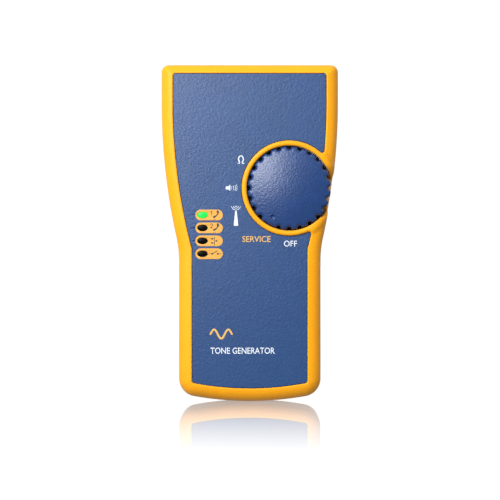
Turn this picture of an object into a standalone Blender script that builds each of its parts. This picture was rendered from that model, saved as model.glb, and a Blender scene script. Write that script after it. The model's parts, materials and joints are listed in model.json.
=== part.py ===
"""Hand-held tone generator for tracing cables.

A flat case in two shells, each with a soft bumper moulded round it, stands upright with its
front facing -Y. A selector dial sits in a well at the front right and is turned with the thumb
through a scoop in the side. Jacks look out of the top end, and a 9 V battery lies behind a
hinged door in the back. Metres, +Z up, the origin under the middle of the case.
"""

import math
from typing import NamedTuple

import bmesh
import bpy
from mathutils import Matrix, Vector

# Clearance between neighbours, how far a cutter runs past the face that it opens, and the small
# offset that keeps the faces of two joined shapes out of one plane.
GAP = 0.0003
PAST = 0.001
OFFSET = 0.0002

# Outline of the case seen from the front: (x, z) with straight sides joined by arcs.
CASE_HEIGHT = 0.142
CASE_HALF_WIDTH = 0.03725
SHOULDER_HEIGHT = 0.126
FLANK_RADIUS = 0.260
WAIST_HALF_WIDTH = 0.0299
WAIST_FILLET = 0.045
FOOT_RADIUS = 0.135
FOOT_CORNER = 0.0085
TOP_CORNER = 0.0038

# Levels from front (-Y) to back.
FRONT_CREST = -0.0135
FRONT_FACE = -0.0130
FRONT_LEDGE = -0.0115
PARTING = 0.0015
REAR_LEDGE = 0.0145
REAR_FACE = 0.0160
REAR_CREST = 0.0165
BEYOND = 0.030

BUMPER_WALL = 0.0022
SHELL_WALL = 0.0018
PLATE = 0.0020
CREST_ROUND = 0.0030

# Selector dial and the well that it turns in.
DIAL_X = 0.0166
DIAL_Z = 0.0899
DIAL_RADIUS = 0.0175
DIAL_FRONT = -0.0165
DIAL_BACK = -0.0066
DIAL_SKIN = 0.0027
DIAL_HOLLOW_RADIUS = 0.0150
DIAL_EDGE = 0.0006
RING_INNER = 0.01785
RING_OUTER = 0.0200
RING_FRONT = -0.0142
RING_ROUND = 0.0007
WELL_FLOOR = -0.0060
FLOOR_PLATE = 0.0016
WELL_WALL = 0.0016
NOTCH_PITCHES = 24
NOTCH_RADIUS = 0.0011
NOTCH_CENTRE = 0.0171
POINTER_ANGLE = -120.0
POINTER_RADIUS = 0.0140
POINTER_DIMPLE = 0.0010
HUB_RADIUS = 0.0046

# Thumb scoop: a round hollow across the side of the front bumper, beside the dial.
SCOOP_START = 0.0287
SCOOP_Y = -0.0175
SCOOP_Z = 0.0885
SCOOP_RADIUS = 0.0105

# Selector switch under the well.
SHAFT_RADIUS = 0.0029
SHAFT_FRONT = -0.0100
ROTOR_RADIUS = 0.0105
ROTOR_FRONT = -0.0039
ROTOR_BACK = -0.0023
DETENT_PITCHES = 12
DETENT_RADIUS = 0.0009
SPRING_X = 0.0042
SPRING_LEAF = 0.0004
SPRING_HALF_LENGTH = 0.0098
SPRING_BEND = 0.0030
SPRING_ARM = 0.0020
SPRING_ARM_HALF_DEPTH = 0.0019
SPRING_SLOT = 0.0005
WIPER_RADIUS = 0.0086
WIPER_WIDTH = 0.0016
DIAL_SCREW_TIP = -0.0132
DIAL_SCREW_SEAT = -0.0020
DIAL_SCREW_HEAD_RADIUS = 0.0026
DIAL_SCREW_HEAD = 0.0013

# Circuit board.
BOARD_FRONT = -0.0010
BOARD_BACK = 0.0006
BOARD_LOW = 0.0550
BOARD_HIGH = 0.1345
BOARD_SIDE_GAP = 0.0005
BATTERY_NOTCH_HALF_WIDTH = 0.0163
BATTERY_NOTCH_TOP = 0.0670
COAX_NOTCH_LOW = 0.1235
DIAL_SCREW_ROOM = 0.0034
BOARD_SCREWS = ((-0.0255, 0.100), (0.0205, 0.061), (-0.0030, 0.114))
STANDOFF_RADIUS = 0.0026
STANDOFF_BORE = 0.0013
STANDOFF_BORE_FRONT = -0.0075
BOARD_SCREW_TIP = -0.0065
BOARD_SCREW_SHANK = 0.0010
BOARD_SCREW_HEAD_RADIUS = 0.0022
BOARD_SCREW_HEAD = 0.0012

# What stands on the back of the board: its lowest and highest x, its height and its z range.
CHIP = (-0.0160, -0.0060, 0.0014, 0.0870, 0.0970)
CRYSTAL = (-0.0165, -0.0055, 0.0036, 0.1010, 0.1048)
TRANSFORMER = (-0.0240, -0.0120, 0.0095, 0.0700, 0.0800)
RELAY = (-0.0230, -0.0180, 0.0080, 0.1040, 0.1180)
CAPACITORS = ((0.0000, 0.0790), (0.0220, 0.0760))
CAPACITOR_RADIUS = 0.00315
CAPACITOR_HEIGHT = 0.0070

# Case screws run from the back into bosses of the front shell.
CASE_SCREWS = ((-0.0288, 0.112), (0.0288, 0.112), (-0.0203, 0.020), (0.0203, 0.020))
FRONT_BOSS_RADIUS = 0.0028
REAR_BOSS_RADIUS = 0.0043
SCREW_WELL_RADIUS = 0.0031
SCREW_SEAT = 0.0053
SCREW_TIP = -0.0070
SCREW_SHANK = 0.0012
SCREW_HOLE = 0.0015
SCREW_HEAD_RADIUS = 0.0027
SCREW_HEAD = 0.0022
RECESS = (0.6, 0.12)
RECESS_DEPTH = 0.45

# Indicator lenses, from the top down.
LENS_X = -0.0198
LENS_TOP_Z = 0.0786
LENS_PITCH = 0.00543
LENS_HALF_WIDTH = 0.00215
LENS_HALF_HEIGHT = 0.00135
LENS_FRONT = -0.0133
LENS_BACK = -0.0026
LENS_FLANGE = 0.0010
LENS_FLANGE_LIP = (0.0004, 0.0006)
LAMP_HALF_WIDTH = 0.0010
LAMP_HALF_HEIGHT = 0.0008

# Battery, its box in the rear shell and its door.
BATTERY_LOW = 0.0133
BATTERY_HALF_WIDTH = 0.01325
BATTERY_FRONT = -0.0046
BATTERY_DEPTH = 0.0175
BATTERY_BODY = 0.0465
BATTERY_TERMINAL = 0.0020
BATTERY_EDGE = 0.0012
TERMINAL_OFFSET = 0.0064
STUD_RADIUS = 0.0029
CROWN_RADIUS = 0.0041
CROWN_BORE = 0.0031
SNAP_HALF_WIDTH = 0.0125
SNAP_HALF_DEPTH = 0.0062
SNAP_CLEARANCE = 0.0004
SNAP_EDGE = 0.0008
WIRE_RADIUS = 0.0006
WIRE_OFFSET = 0.0030
WIRE_START_Y = 0.0060
WIRE_TOP = 0.0712
WIRE_BEND = 0.0020
BOX_HALF_WIDTH = 0.0136
BOX_WALL = 0.0015
BOX_LOW = 0.0130
BOX_HIGH = 0.0649
BOX_FRONT = -0.0049
DOOR_HALF_WIDTH = 0.0156
DOOR_INNER = 0.0143
DOOR_HIGH = 0.0657
HINGE_Y = 0.0144
HINGE_Z = 0.0110
HINGE_BARREL = 0.0016
HINGE_PIN = 0.0006
HINGE_PIN_REACH = 0.0016
HINGE_BLOCK = 0.0022
HINGE_BLOCK_WIDTH = 0.0030
LEAD_SLOT = ((-0.006, 0.003), (0.006, 0.009))
FINGER_NOTCH = (0.0050, 0.0025)
FINGER_NOTCH_DEPTH = 0.0012
PAD_LOW = (-0.0080, 0.0132, 0.0200)
PAD_HIGH = (0.0080, 0.0550)

# Jacks in the top end. A modular jack is: middle of the mouth along X, half its width, half the
# housing's width, the housing's depth and the number of contacts.
RJ45 = (-0.0180, 0.0059, 0.0080, 0.0155, 8)
RJ11 = (0.0010, 0.0048, 0.0066, 0.0150, 4)
JACK_TOP = 0.1374
JACK_FRONT = 0.0009
JACK_BACK = 0.0122
PORT_LOW = 0.1377
PORT_HIGH = 0.1409
PORT_X = (-0.0290, 0.0300)
PORT_Y = (-0.0045, 0.0123)
CAVITY_Y = (0.0039, 0.0107)
LATCH_Y = 0.0022
LATCH_HALF_WIDTH = 0.0031
JACK_FLOOR = 0.0040
CONTACT_PITCH = 0.00102
CONTACT_HALF_WIDTH = 0.00023
CONTACT_LENGTH = 0.0080
CONTACT_Y = (0.0098, 0.0104)
COAX_X = 0.0200
COAX_Y = 0.0040
COAX_CUP_INNER = 0.0072
COAX_CUP_WALL = 0.0010
COAX_CUP_FLOOR = 0.1275
COAX_THREAD_RADIUS = 0.00472
COAX_TOP = 0.1395
COAX_BORE = 0.0036
COAX_HEX_RADIUS = 0.0064
COAX_FLANGE = 0.0032
COAX_NUT = 0.0020
COAX_PLATE = 0.0015
INSULATOR_RADIUS = 0.0033
INSULATOR_TOP = 0.1390
INSULATOR_BORE = 0.0006
INSULATOR_BORE_LOW = 0.1330


class Outline(NamedTuple):
    """Closed outline of the case, a panel or a wall, seen from the front."""

    top: float
    half_width: float
    shoulder: float
    flank: float
    waist: float
    fillet: float
    foot: float
    foot_radius: float
    foot_corner: float
    top_corner: float

    def inset(self, depth):
        """The outline moved inwards by depth. Its arcs keep their centres."""
        return self._replace(
            top=self.top - depth,
            half_width=self.half_width - depth,
            flank=self.flank - depth,
            waist=self.waist - depth,
            fillet=self.fillet + depth,
            foot=self.foot + depth,
            foot_radius=self.foot_radius - depth,
            foot_corner=max(self.foot_corner - depth, 0.0),
            top_corner=max(self.top_corner - depth, 0.0),
        )

    def points(self, foot_steps=11, corner_steps=3, fillet_steps=3, flank_steps=5):
        """Anticlockwise (x, z) points, without repeated ones."""
        foot_z = self.foot + self.foot_radius
        corner_x = self.waist - self.foot_corner
        reach = self.foot_radius - self.foot_corner
        corner_z = foot_z - math.sqrt(reach**2 - corner_x**2)
        foot_end = math.degrees(math.atan2(corner_z - foot_z, corner_x))

        flank_x = self.half_width - self.flank
        across = self.waist + self.fillet - flank_x
        along = math.sqrt((self.flank + self.fillet) ** 2 - across**2)
        turn = math.degrees(math.atan2(along, across))

        foot = arc(0.0, foot_z, self.foot_radius, -180.0 - foot_end, foot_end, foot_steps)
        side = arc(corner_x, corner_z, self.foot_corner, foot_end, 0.0, corner_steps)
        side += arc(
            self.waist + self.fillet, self.shoulder - along, self.fillet, 180.0, 180.0 - turn, fillet_steps
        )
        side += arc(flank_x, self.shoulder, self.flank, -turn, 0.0, flank_steps)
        top_x = self.half_width - self.top_corner
        side += arc(top_x, self.top - self.top_corner, self.top_corner, 0.0, 90.0, corner_steps)
        mirrored = [(-x, z) for x, z in reversed(side)]
        return without_repeats(foot + side + mirrored)


CASE = Outline(
    top=CASE_HEIGHT,
    half_width=CASE_HALF_WIDTH,
    shoulder=SHOULDER_HEIGHT,
    flank=FLANK_RADIUS,
    waist=WAIST_HALF_WIDTH,
    fillet=WAIST_FILLET,
    foot=0.0,
    foot_radius=FOOT_RADIUS,
    foot_corner=FOOT_CORNER,
    top_corner=TOP_CORNER,
)
# The window in the bumper that shows the face of a shell.
WINDOW = Outline(
    top=0.1382,
    half_width=0.0323,
    shoulder=SHOULDER_HEIGHT,
    flank=0.242,
    waist=0.02405,
    fillet=0.006,
    foot=0.00606,
    foot_radius=0.107,
    foot_corner=0.0012,
    top_corner=0.0012,
)
SHELL = CASE.inset(BUMPER_WALL + GAP)
CAVITY = SHELL.inset(SHELL_WALL)


# Shapes ----------------------------------------------------------------------------------------


def arc(x, z, radius, start, end, steps):
    """Points along an arc from start to end degrees, both ends included."""
    angles = [math.radians(start + (end - start) * step / steps) for step in range(steps + 1)]
    return [(x + radius * math.cos(a), z + radius * math.sin(a)) for a in angles]


def without_repeats(points, nearest=1e-5):
    kept = []
    for point in points:
        if not kept or math.dist(point, kept[-1]) > nearest:
            kept.append(point)
    if math.dist(kept[0], kept[-1]) <= nearest:
        kept.pop()
    return kept


def circle(x, z, radius, sides):
    return arc(x, z, radius, 0.0, 360.0, sides)[:-1]


def rectangle(low_x, high_x, low_z, high_z, corner=0.0, steps=3):
    """Anticlockwise rectangle, its corners rounded when corner is above 0."""
    if corner == 0.0:
        return [(low_x, low_z), (high_x, low_z), (high_x, high_z), (low_x, high_z)]
    points = arc(low_x + corner, low_z + corner, corner, 180.0, 270.0, steps)
    points += arc(high_x - corner, low_z + corner, corner, 270.0, 360.0, steps)
    points += arc(high_x - corner, high_z - corner, corner, 0.0, 90.0, steps)
    points += arc(low_x + corner, high_z - corner, corner, 90.0, 180.0, steps)
    return points


def collection(name):
    made = bpy.data.collections.new(name)
    bpy.context.scene.collection.children.link(made)
    return made


def object_of(name, mesh):
    obj = bpy.data.objects.new(name, mesh)
    PARTS.objects.link(obj)
    return obj


def from_bmesh(name, bm):
    mesh = bpy.data.meshes.new(name)
    bmesh.ops.recalc_face_normals(bm, faces=bm.faces)
    bm.to_mesh(mesh)
    bm.free()
    return object_of(name, mesh)


def round_rim(bm, level, width, segments):
    """Rounds the edges that lie at this Y level."""
    rim = [edge for edge in bm.edges if all(abs(v.co.y - level) < 1e-6 for v in edge.verts)]
    bmesh.ops.bevel(bm, geom=rim, offset=width, segments=segments, profile=0.5, affect="EDGES")


def prism(name, loops, front, back, front_round=0.0, back_round=0.0, segments=2):
    """A flat outline, or an outline and its holes, as a solid from front to back along Y."""
    curve = bpy.data.curves.new(name, "CURVE")
    curve.dimensions = "2D"
    curve.fill_mode = "BOTH"
    curve.extrude = (back - front) / 2
    for loop in loops:
        spline = curve.splines.new("POLY")
        spline.points.add(len(loop) - 1)
        for point, (x, z) in zip(spline.points, loop):
            point.co = (x, z, 0.0, 1.0)
        spline.use_cyclic_u = True
    flat = object_of(name + "_outline", curve)
    bpy.context.view_layer.update()
    graph = bpy.context.evaluated_depsgraph_get()
    mesh = bpy.data.meshes.new_from_object(flat.evaluated_get(graph))
    bpy.data.objects.remove(flat)
    bpy.data.curves.remove(curve)

    bm = bmesh.new()
    bm.from_mesh(mesh)
    bpy.data.meshes.remove(mesh)
    bmesh.ops.remove_doubles(bm, verts=bm.verts, dist=1e-6)
    upright = Matrix.Translation((0.0, (front + back) / 2, 0.0)) @ Matrix.Rotation(math.pi / 2, 4, "X")
    bmesh.ops.transform(bm, matrix=upright, verts=bm.verts)
    bmesh.ops.dissolve_limit(bm, angle_limit=0.001, verts=bm.verts, edges=bm.edges)
    if front_round:
        round_rim(bm, front, front_round, segments)
    if back_round:
        round_rim(bm, back, back_round, segments)
    return from_bmesh(name, bm)


def box(name, low, high, edge=0.0):
    """A box between two corners, its edges rounded when edge is above 0."""
    low, high = Vector(low), Vector(high)
    bm = bmesh.new()
    bmesh.ops.create_cube(bm, size=1.0)
    bmesh.ops.scale(bm, vec=high - low, verts=bm.verts)
    bmesh.ops.translate(bm, vec=(low + high) / 2, verts=bm.verts)
    if edge:
        bmesh.ops.bevel(bm, geom=bm.edges[:], offset=edge, segments=2, profile=0.5, affect="EDGES")
    return from_bmesh(name, bm)


def cylinder(name, start, end, radius, sides=24):
    """A cylinder between the centres of its two ends."""
    start, end = Vector(start), Vector(end)
    along = end - start
    bm = bmesh.new()
    bmesh.ops.create_cone(
        bm, cap_ends=True, segments=sides, radius1=radius, radius2=radius, depth=along.length
    )
    turn = Vector((0.0, 0.0, 1.0)).rotation_difference(along).to_matrix().to_4x4()
    bmesh.ops.transform(bm, matrix=Matrix.Translation((start + end) / 2) @ turn, verts=bm.verts)
    return from_bmesh(name, bm)


def rod(name, x, z, radius, front, back, sides=24):
    """A cylinder that runs from front to back along Y."""
    return cylinder(name, (x, front, z), (x, back, z), radius, sides)


def post(name, x, y, radius, low, high, sides=24):
    """A cylinder that stands from low to high along Z."""
    return cylinder(name, (x, y, low), (x, y, high), radius, sides)


def turned(name, x, y, profile, steps=24):
    """A profile of (radius, z) points, from the top down its outer side, turned about a line along Z."""
    mesh = bpy.data.meshes.new(name)
    points = [(radius, 0.0, z) for radius, z in profile]
    edges = [(i, (i + 1) % len(points)) for i in range(len(points))]
    if profile[0][0] == 0.0 and profile[-1][0] == 0.0:
        edges.pop()
    mesh.from_pydata(points, edges, [])
    obj = object_of(name, mesh)
    obj.location = (x, y, 0.0)
    screw = obj.modifiers.new("turn", "SCREW")
    screw.steps = steps
    screw.render_steps = steps
    screw.use_merge_vertices = True
    screw.merge_threshold = 0.00001
    return obj


def tube(name, route, radius):
    """A round wire along a smooth curve through the points of its route."""
    curve = bpy.data.curves.new(name, "CURVE")
    curve.dimensions = "3D"
    curve.bevel_depth = radius
    curve.bevel_resolution = 1
    curve.use_fill_caps = True
    curve.resolution_u = 4
    spline = curve.splines.new("BEZIER")
    spline.bezier_points.add(len(route) - 1)
    for point, place in zip(spline.bezier_points, route):
        point.co = place
        point.handle_left_type = "AUTO"
        point.handle_right_type = "AUTO"
    return object_of(name, curve)


def helper(obj):
    """Marks an object that only shapes others, and returns it."""
    PARTS.objects.unlink(obj)
    CUTTERS.objects.link(obj)
    obj.hide_render = True
    obj.display_type = "WIRE"
    return obj


def boolean(obj, operation, others):
    for other in others:
        modifier = obj.modifiers.new(other.name, "BOOLEAN")
        modifier.operation = operation
        modifier.solver = "EXACT"
        modifier.object = other


def cut(obj, *others):
    boolean(obj, "DIFFERENCE", [helper(other) for other in others])


def join(obj, *others):
    boolean(obj, "UNION", [helper(other) for other in others])


def keep(obj, other):
    boolean(obj, "INTERSECT", [helper(other)])


def hang_on(axis, *objects):
    """Puts objects that are modelled in place under the empty of their joint."""
    for obj in objects:
        obj.parent = axis
        obj.location = -axis.location


def joint_axis(name, place):
    empty = bpy.data.objects.new(name, None)
    empty.location = place
    empty.empty_display_size = 0.01
    PARTS.objects.link(empty)
    return empty


# Materials -------------------------------------------------------------------------------------


def linear(value):
    return value / 12.92 if value <= 0.04045 else ((value + 0.055) / 1.055) ** 2.4


def finish(name, red, green, blue, roughness, metallic=0.0):
    """A Principled material from an sRGB colour of 0 to 255."""
    material = bpy.data.materials.new(name)
    material.use_nodes = True
    shader = material.node_tree.nodes["Principled BSDF"]
    colour = [linear(channel / 255) for channel in (red, green, blue)]
    shader.inputs["Base Color"].default_value = (*colour, 1.0)
    shader.inputs["Roughness"].default_value = roughness
    shader.inputs["Metallic"].default_value = metallic
    return material


def paint(material, *objects):
    for obj in objects:
        obj.data.materials.clear()
        obj.data.materials.append(material)
        if obj.type == "MESH":
            obj.data.shade_smooth()
            obj.data.set_sharp_from_angle(angle=math.radians(35))


# Case ------------------------------------------------------------------------------------------


def bumper(name, crest, ledge, parting):
    """The soft frame round one shell: a side wall and a lip over the shell's ledge."""
    outward = math.copysign(1.0, crest)
    front, back = sorted((crest, parting))
    rounds = {"front_round": CREST_ROUND} if outward < 0 else {"back_round": CREST_ROUND}
    frame = prism(name, [CASE.points()], front, back, **rounds)
    lip_back = ledge + outward * GAP
    pocket = sorted((lip_back, parting - outward * BEYOND))
    opening = sorted((crest + outward * BEYOND, lip_back - outward * PLATE))
    cut(
        frame,
        prism(name + "_pocket", [CASE.inset(BUMPER_WALL).points()], *pocket),
        prism(name + "_window", [WINDOW.points()], *opening),
    )
    return frame


def shell(name, face, ledge, parting):
    """One half of the hard case: a tray with a raised face that fills the bumper's window."""
    outward = math.copysign(1.0, face)
    tray = prism(name, [SHELL.points()], *sorted((ledge, parting)))
    raised = WINDOW.inset(GAP)
    join(tray, prism(name + "_face", [raised.points()], *sorted((face, ledge - outward * PLATE / 2))))
    hollow = sorted((ledge - outward * PLATE, parting - outward * BEYOND))
    recess = sorted((face - outward * PLATE, parting - outward * BEYOND))
    cut(
        tray,
        prism(name + "_hollow", [CAVITY.points()], *hollow),
        prism(name + "_recess", [raised.inset(PLATE).points()], *recess),
    )
    return tray


def port_opening(name):
    """The opening in the top end that the port panel fills."""
    low = (PORT_X[0] - GAP, PORT_Y[0] - GAP, PORT_LOW - 2 * PAST)
    high = (PORT_X[1] + GAP, PORT_Y[1] + GAP, CASE_HEIGHT + PAST)
    return box(name, low, high)


def front_bumper():
    frame = bumper("front_bumper", FRONT_CREST, FRONT_LEDGE, PARTING - GAP / 2)
    ring_back = WELL_FLOOR - GAP
    ring_loops = [circle(DIAL_X, DIAL_Z, RING_OUTER, 52), circle(DIAL_X, DIAL_Z, RING_INNER, 52)]
    ring = prism("dial_ring", ring_loops, RING_FRONT, ring_back, RING_ROUND, segments=1)
    limit = CASE.inset(GAP).points()
    keep(ring, prism("dial_ring_limit", [limit], FRONT_CREST - PAST, PARTING, CREST_ROUND))
    ring_middle = (RING_INNER + RING_OUTER) / 2
    cut(frame, rod("dial_space", DIAL_X, DIAL_Z, ring_middle, -BEYOND, ring_back + OFFSET, 46))
    join(frame, ring)
    scoop_start = (SCOOP_START, SCOOP_Y, SCOOP_Z)
    scoop_end = (CASE_HALF_WIDTH + PAST, SCOOP_Y, SCOOP_Z)
    cut(
        frame,
        cylinder("thumb_scoop", scoop_start, scoop_end, SCOOP_RADIUS, 40),
        port_opening("front_bumper_port"),
    )
    return frame


def lens_places():
    return [(LENS_X, LENS_TOP_Z - LENS_PITCH * index) for index in range(4)]


def ellipse(x, z, half_width, half_height, sides=16):
    return [(x + half_width * a, z + half_height * b) for a, b in circle(0.0, 0.0, 1.0, sides)]


def front_shell():
    tray = shell("front_shell", FRONT_FACE, FRONT_LEDGE, PARTING - GAP / 2)
    floor_back = WELL_FLOOR + FLOOR_PLATE
    well_radius = RING_OUTER + GAP
    cup = rod("well_cup", DIAL_X, DIAL_Z, well_radius + WELL_WALL, FRONT_LEDGE + OFFSET, floor_back, 48)
    keep(cup, prism("well_cup_limit", [SHELL.inset(SHELL_WALL / 3).points()], -BEYOND, BEYOND))
    join(tray, cup)
    for index, (x, z) in enumerate(CASE_SCREWS):
        join(tray, rod(f"front_boss_{index + 1}", x, z, FRONT_BOSS_RADIUS, FRONT_LEDGE + PAST, PARTING - GAP))
    for index, (x, z) in enumerate(BOARD_SCREWS):
        join(tray, rod(f"standoff_{index + 1}", x, z, STANDOFF_RADIUS, FRONT_LEDGE, BOARD_FRONT - GAP, 16))
    for index, z in enumerate((DIAL_Z - SPRING_HALF_LENGTH, DIAL_Z + SPRING_HALF_LENGTH - SPRING_ARM)):
        arm_low = (SPRING_X - SPRING_ARM_HALF_DEPTH, floor_back - FLOOR_PLATE / 2, z)
        arm_high = (SPRING_X + SPRING_ARM_HALF_DEPTH, ROTOR_BACK, z + SPRING_ARM)
        join(tray, box(f"detent_anchor_{index + 1}", arm_low, arm_high))
        slot_low = (SPRING_X - SPRING_SLOT, floor_back, z - PAST)
        slot_high = (SPRING_X + SPRING_SLOT, 0.0, z + SPRING_ARM + PAST)
        cut(tray, box(f"detent_slot_{index + 1}", slot_low, slot_high))
    shaft_hole = SHAFT_RADIUS + GAP
    cut(
        tray,
        rod("dial_well", DIAL_X, DIAL_Z, well_radius, -BEYOND, WELL_FLOOR, 48),
        rod("shaft_hole", DIAL_X, DIAL_Z, shaft_hole, WELL_FLOOR - PAST, floor_back + PAST, 24),
        port_opening("front_shell_port"),
    )
    for index, (x, z) in enumerate(lens_places()):
        hole = ellipse(x, z, LENS_HALF_WIDTH + GAP, LENS_HALF_HEIGHT + GAP)
        cut(tray, prism(f"lens_hole_{index + 1}", [hole], -BEYOND, FRONT_LEDGE + PLATE + PAST))
    for index, (x, z) in enumerate(CASE_SCREWS):
        cut(tray, rod(f"front_screw_hole_{index + 1}", x, z, SCREW_HOLE, SCREW_TIP - PAST, BEYOND, 16))
    for index, (x, z) in enumerate(BOARD_SCREWS):
        cut(tray, rod(f"standoff_hole_{index + 1}", x, z, STANDOFF_BORE, STANDOFF_BORE_FRONT, BEYOND, 12))
    return tray


def rear_shell():
    tray = shell("rear_shell", REAR_FACE, REAR_LEDGE, PARTING + GAP / 2)
    outer = BOX_HALF_WIDTH + BOX_WALL
    room_low = (-outer, BOX_FRONT - BOX_WALL, BOX_LOW - BOX_WALL)
    room_high = (outer, DOOR_INNER + PAST, BOX_HIGH + BOX_WALL)
    join(tray, box("battery_box", room_low, room_high))
    for index, (x, z) in enumerate(CASE_SCREWS):
        join(tray, rod(f"rear_boss_{index + 1}", x, z, REAR_BOSS_RADIUS, PARTING + GAP, REAR_LEDGE, 24))
    block_low = (DOOR_HALF_WIDTH, HINGE_Y - HINGE_BLOCK, HINGE_Z - HINGE_BLOCK)
    block_high = (DOOR_HALF_WIDTH + HINGE_BLOCK_WIDTH, REAR_LEDGE, HINGE_Z + HINGE_BLOCK)
    join(
        tray,
        box("hinge_block_right", block_low, block_high),
        box("hinge_block_left", (-block_high[0], *block_low[1:]), (-block_low[0], *block_high[1:])),
    )

    window = DOOR_HALF_WIDTH + GAP
    window_front = DOOR_INNER - GAP - OFFSET
    slot = HINGE_BARREL + GAP
    pin_end = DOOR_HALF_WIDTH + HINGE_PIN_REACH + GAP
    bore = HINGE_PIN + GAP
    lead_low, lead_high = LEAD_SLOT
    notch_half_width, notch_height = FINGER_NOTCH
    cut(
        tray,
        box("battery_room", (-BOX_HALF_WIDTH, BOX_FRONT, BOX_LOW), (BOX_HALF_WIDTH, BEYOND, BOX_HIGH)),
        box("door_window", (-window, window_front, HINGE_Z - slot), (window, BEYOND, DOOR_HIGH + GAP)),
        box("barrel_slot", (-window, HINGE_Y - slot, HINGE_Z - slot), (window, BEYOND, HINGE_Z + slot)),
        cylinder("hinge_bore", (-pin_end, HINGE_Y, HINGE_Z), (pin_end, HINGE_Y, HINGE_Z), bore, 12),
        box("lead_slot", (*lead_low, BOX_HIGH - PAST), (*lead_high, BOX_HIGH + BOX_WALL + PAST)),
        box(
            "finger_notch",
            (-notch_half_width, REAR_FACE - FINGER_NOTCH_DEPTH, DOOR_HIGH),
            (notch_half_width, BEYOND, DOOR_HIGH + notch_height),
        ),
        port_opening("rear_shell_port"),
    )
    for index, (x, z) in enumerate(CASE_SCREWS):
        cut(
            tray,
            rod(f"screw_well_{index + 1}", x, z, SCREW_WELL_RADIUS, SCREW_SEAT, BEYOND, 20),
            rod(f"rear_screw_hole_{index + 1}", x, z, SCREW_HOLE, -BEYOND, SCREW_SEAT + PAST, 16),
        )
    return tray


def rear_bumper():
    frame = bumper("rear_bumper", REAR_CREST, REAR_LEDGE, PARTING + GAP / 2)
    cut(frame, port_opening("rear_bumper_port"))
    return frame


def jack_mouth(name, x, half_width, low, high, clearance=0.0):
    """The room for a plug: a rectangle with the channel of its latch on the board's side."""
    front, back = CAVITY_Y[0] - clearance, CAVITY_Y[1] + clearance
    main = box(name, (x - half_width - clearance, front, low), (x + half_width + clearance, back, high))
    latch = LATCH_HALF_WIDTH + clearance
    channel_low = (x - latch, LATCH_Y - clearance, low)
    channel_high = (x + latch, front + PAST, high)
    join(main, box(name + "_latch", channel_low, channel_high))
    return main


def port_panel():
    panel = box("port_panel", (PORT_X[0], PORT_Y[0], PORT_LOW), (PORT_X[1], PORT_Y[1], PORT_HIGH))
    outer = COAX_CUP_INNER + COAX_CUP_WALL
    low, high = PORT_LOW - PAST, PORT_HIGH + PAST
    join(panel, post("coax_cup", COAX_X, COAX_Y, outer, COAX_CUP_FLOOR, PORT_LOW + PAST, 32))
    cut(
        panel,
        post("coax_room", COAX_X, COAX_Y, COAX_CUP_INNER, COAX_CUP_FLOOR + COAX_PLATE, high, 32),
        post("coax_hole", COAX_X, COAX_Y, COAX_THREAD_RADIUS + GAP, COAX_CUP_FLOOR - PAST, high, 24),
        jack_mouth("rj45_mouth", *RJ45[:2], low, high, GAP),
        jack_mouth("rj11_mouth", *RJ11[:2], low, high, GAP),
    )
    return panel


# Selector --------------------------------------------------------------------------------------


def scalloped_circle():
    """The dial's rim: a circle with a notch at every pitch but the pointer's."""
    pitch = 360.0 / NOTCH_PITCHES
    cosine = (DIAL_RADIUS**2 + NOTCH_CENTRE**2 - NOTCH_RADIUS**2) / (2 * DIAL_RADIUS * NOTCH_CENTRE)
    half = math.degrees(math.acos(cosine))
    bite = math.degrees(
        math.atan2(DIAL_RADIUS * math.sin(math.radians(half)), DIAL_RADIUS * cosine - NOTCH_CENTRE)
    )
    points = arc(DIAL_X, DIAL_Z, DIAL_RADIUS, POINTER_ANGLE - half, POINTER_ANGLE + half, 2)
    for index in range(1, NOTCH_PITCHES):
        angle = POINTER_ANGLE + index * pitch
        x = DIAL_X + NOTCH_CENTRE * math.cos(math.radians(angle))
        z = DIAL_Z + NOTCH_CENTRE * math.sin(math.radians(angle))
        points += arc(x, z, NOTCH_RADIUS, angle - bite, angle + bite - 360.0, 4)
        points += arc(DIAL_X, DIAL_Z, DIAL_RADIUS, angle + half, angle + pitch - half, 1)[:-1]
    return without_repeats(points)


def pointer_dimple():
    angle = math.radians(POINTER_ANGLE)
    x = DIAL_X + POINTER_RADIUS * math.cos(angle)
    z = DIAL_Z + POINTER_RADIUS * math.sin(angle)
    bm = bmesh.new()
    bmesh.ops.create_uvsphere(bm, u_segments=12, v_segments=8, radius=POINTER_DIMPLE)
    bmesh.ops.translate(bm, vec=(x, DIAL_FRONT - GAP, z), verts=bm.verts)
    return from_bmesh("pointer_dimple", bm)


def dial():
    knob = prism("dial", [scalloped_circle()], DIAL_FRONT, DIAL_BACK, DIAL_EDGE, segments=1)
    hollow_loops = [circle(DIAL_X, DIAL_Z, DIAL_HOLLOW_RADIUS, 36), circle(DIAL_X, DIAL_Z, HUB_RADIUS, 24)]
    cut(
        knob,
        prism("dial_hollow", hollow_loops, DIAL_FRONT + DIAL_SKIN, BEYOND),
        rod("hub_socket", DIAL_X, DIAL_Z, SHAFT_RADIUS + GAP, SHAFT_FRONT - GAP, BEYOND, 6),
        rod("hub_pilot", DIAL_X, DIAL_Z, SCREW_HOLE, DIAL_SCREW_TIP - GAP, BEYOND, 16),
        pointer_dimple(),
    )
    return knob


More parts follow.
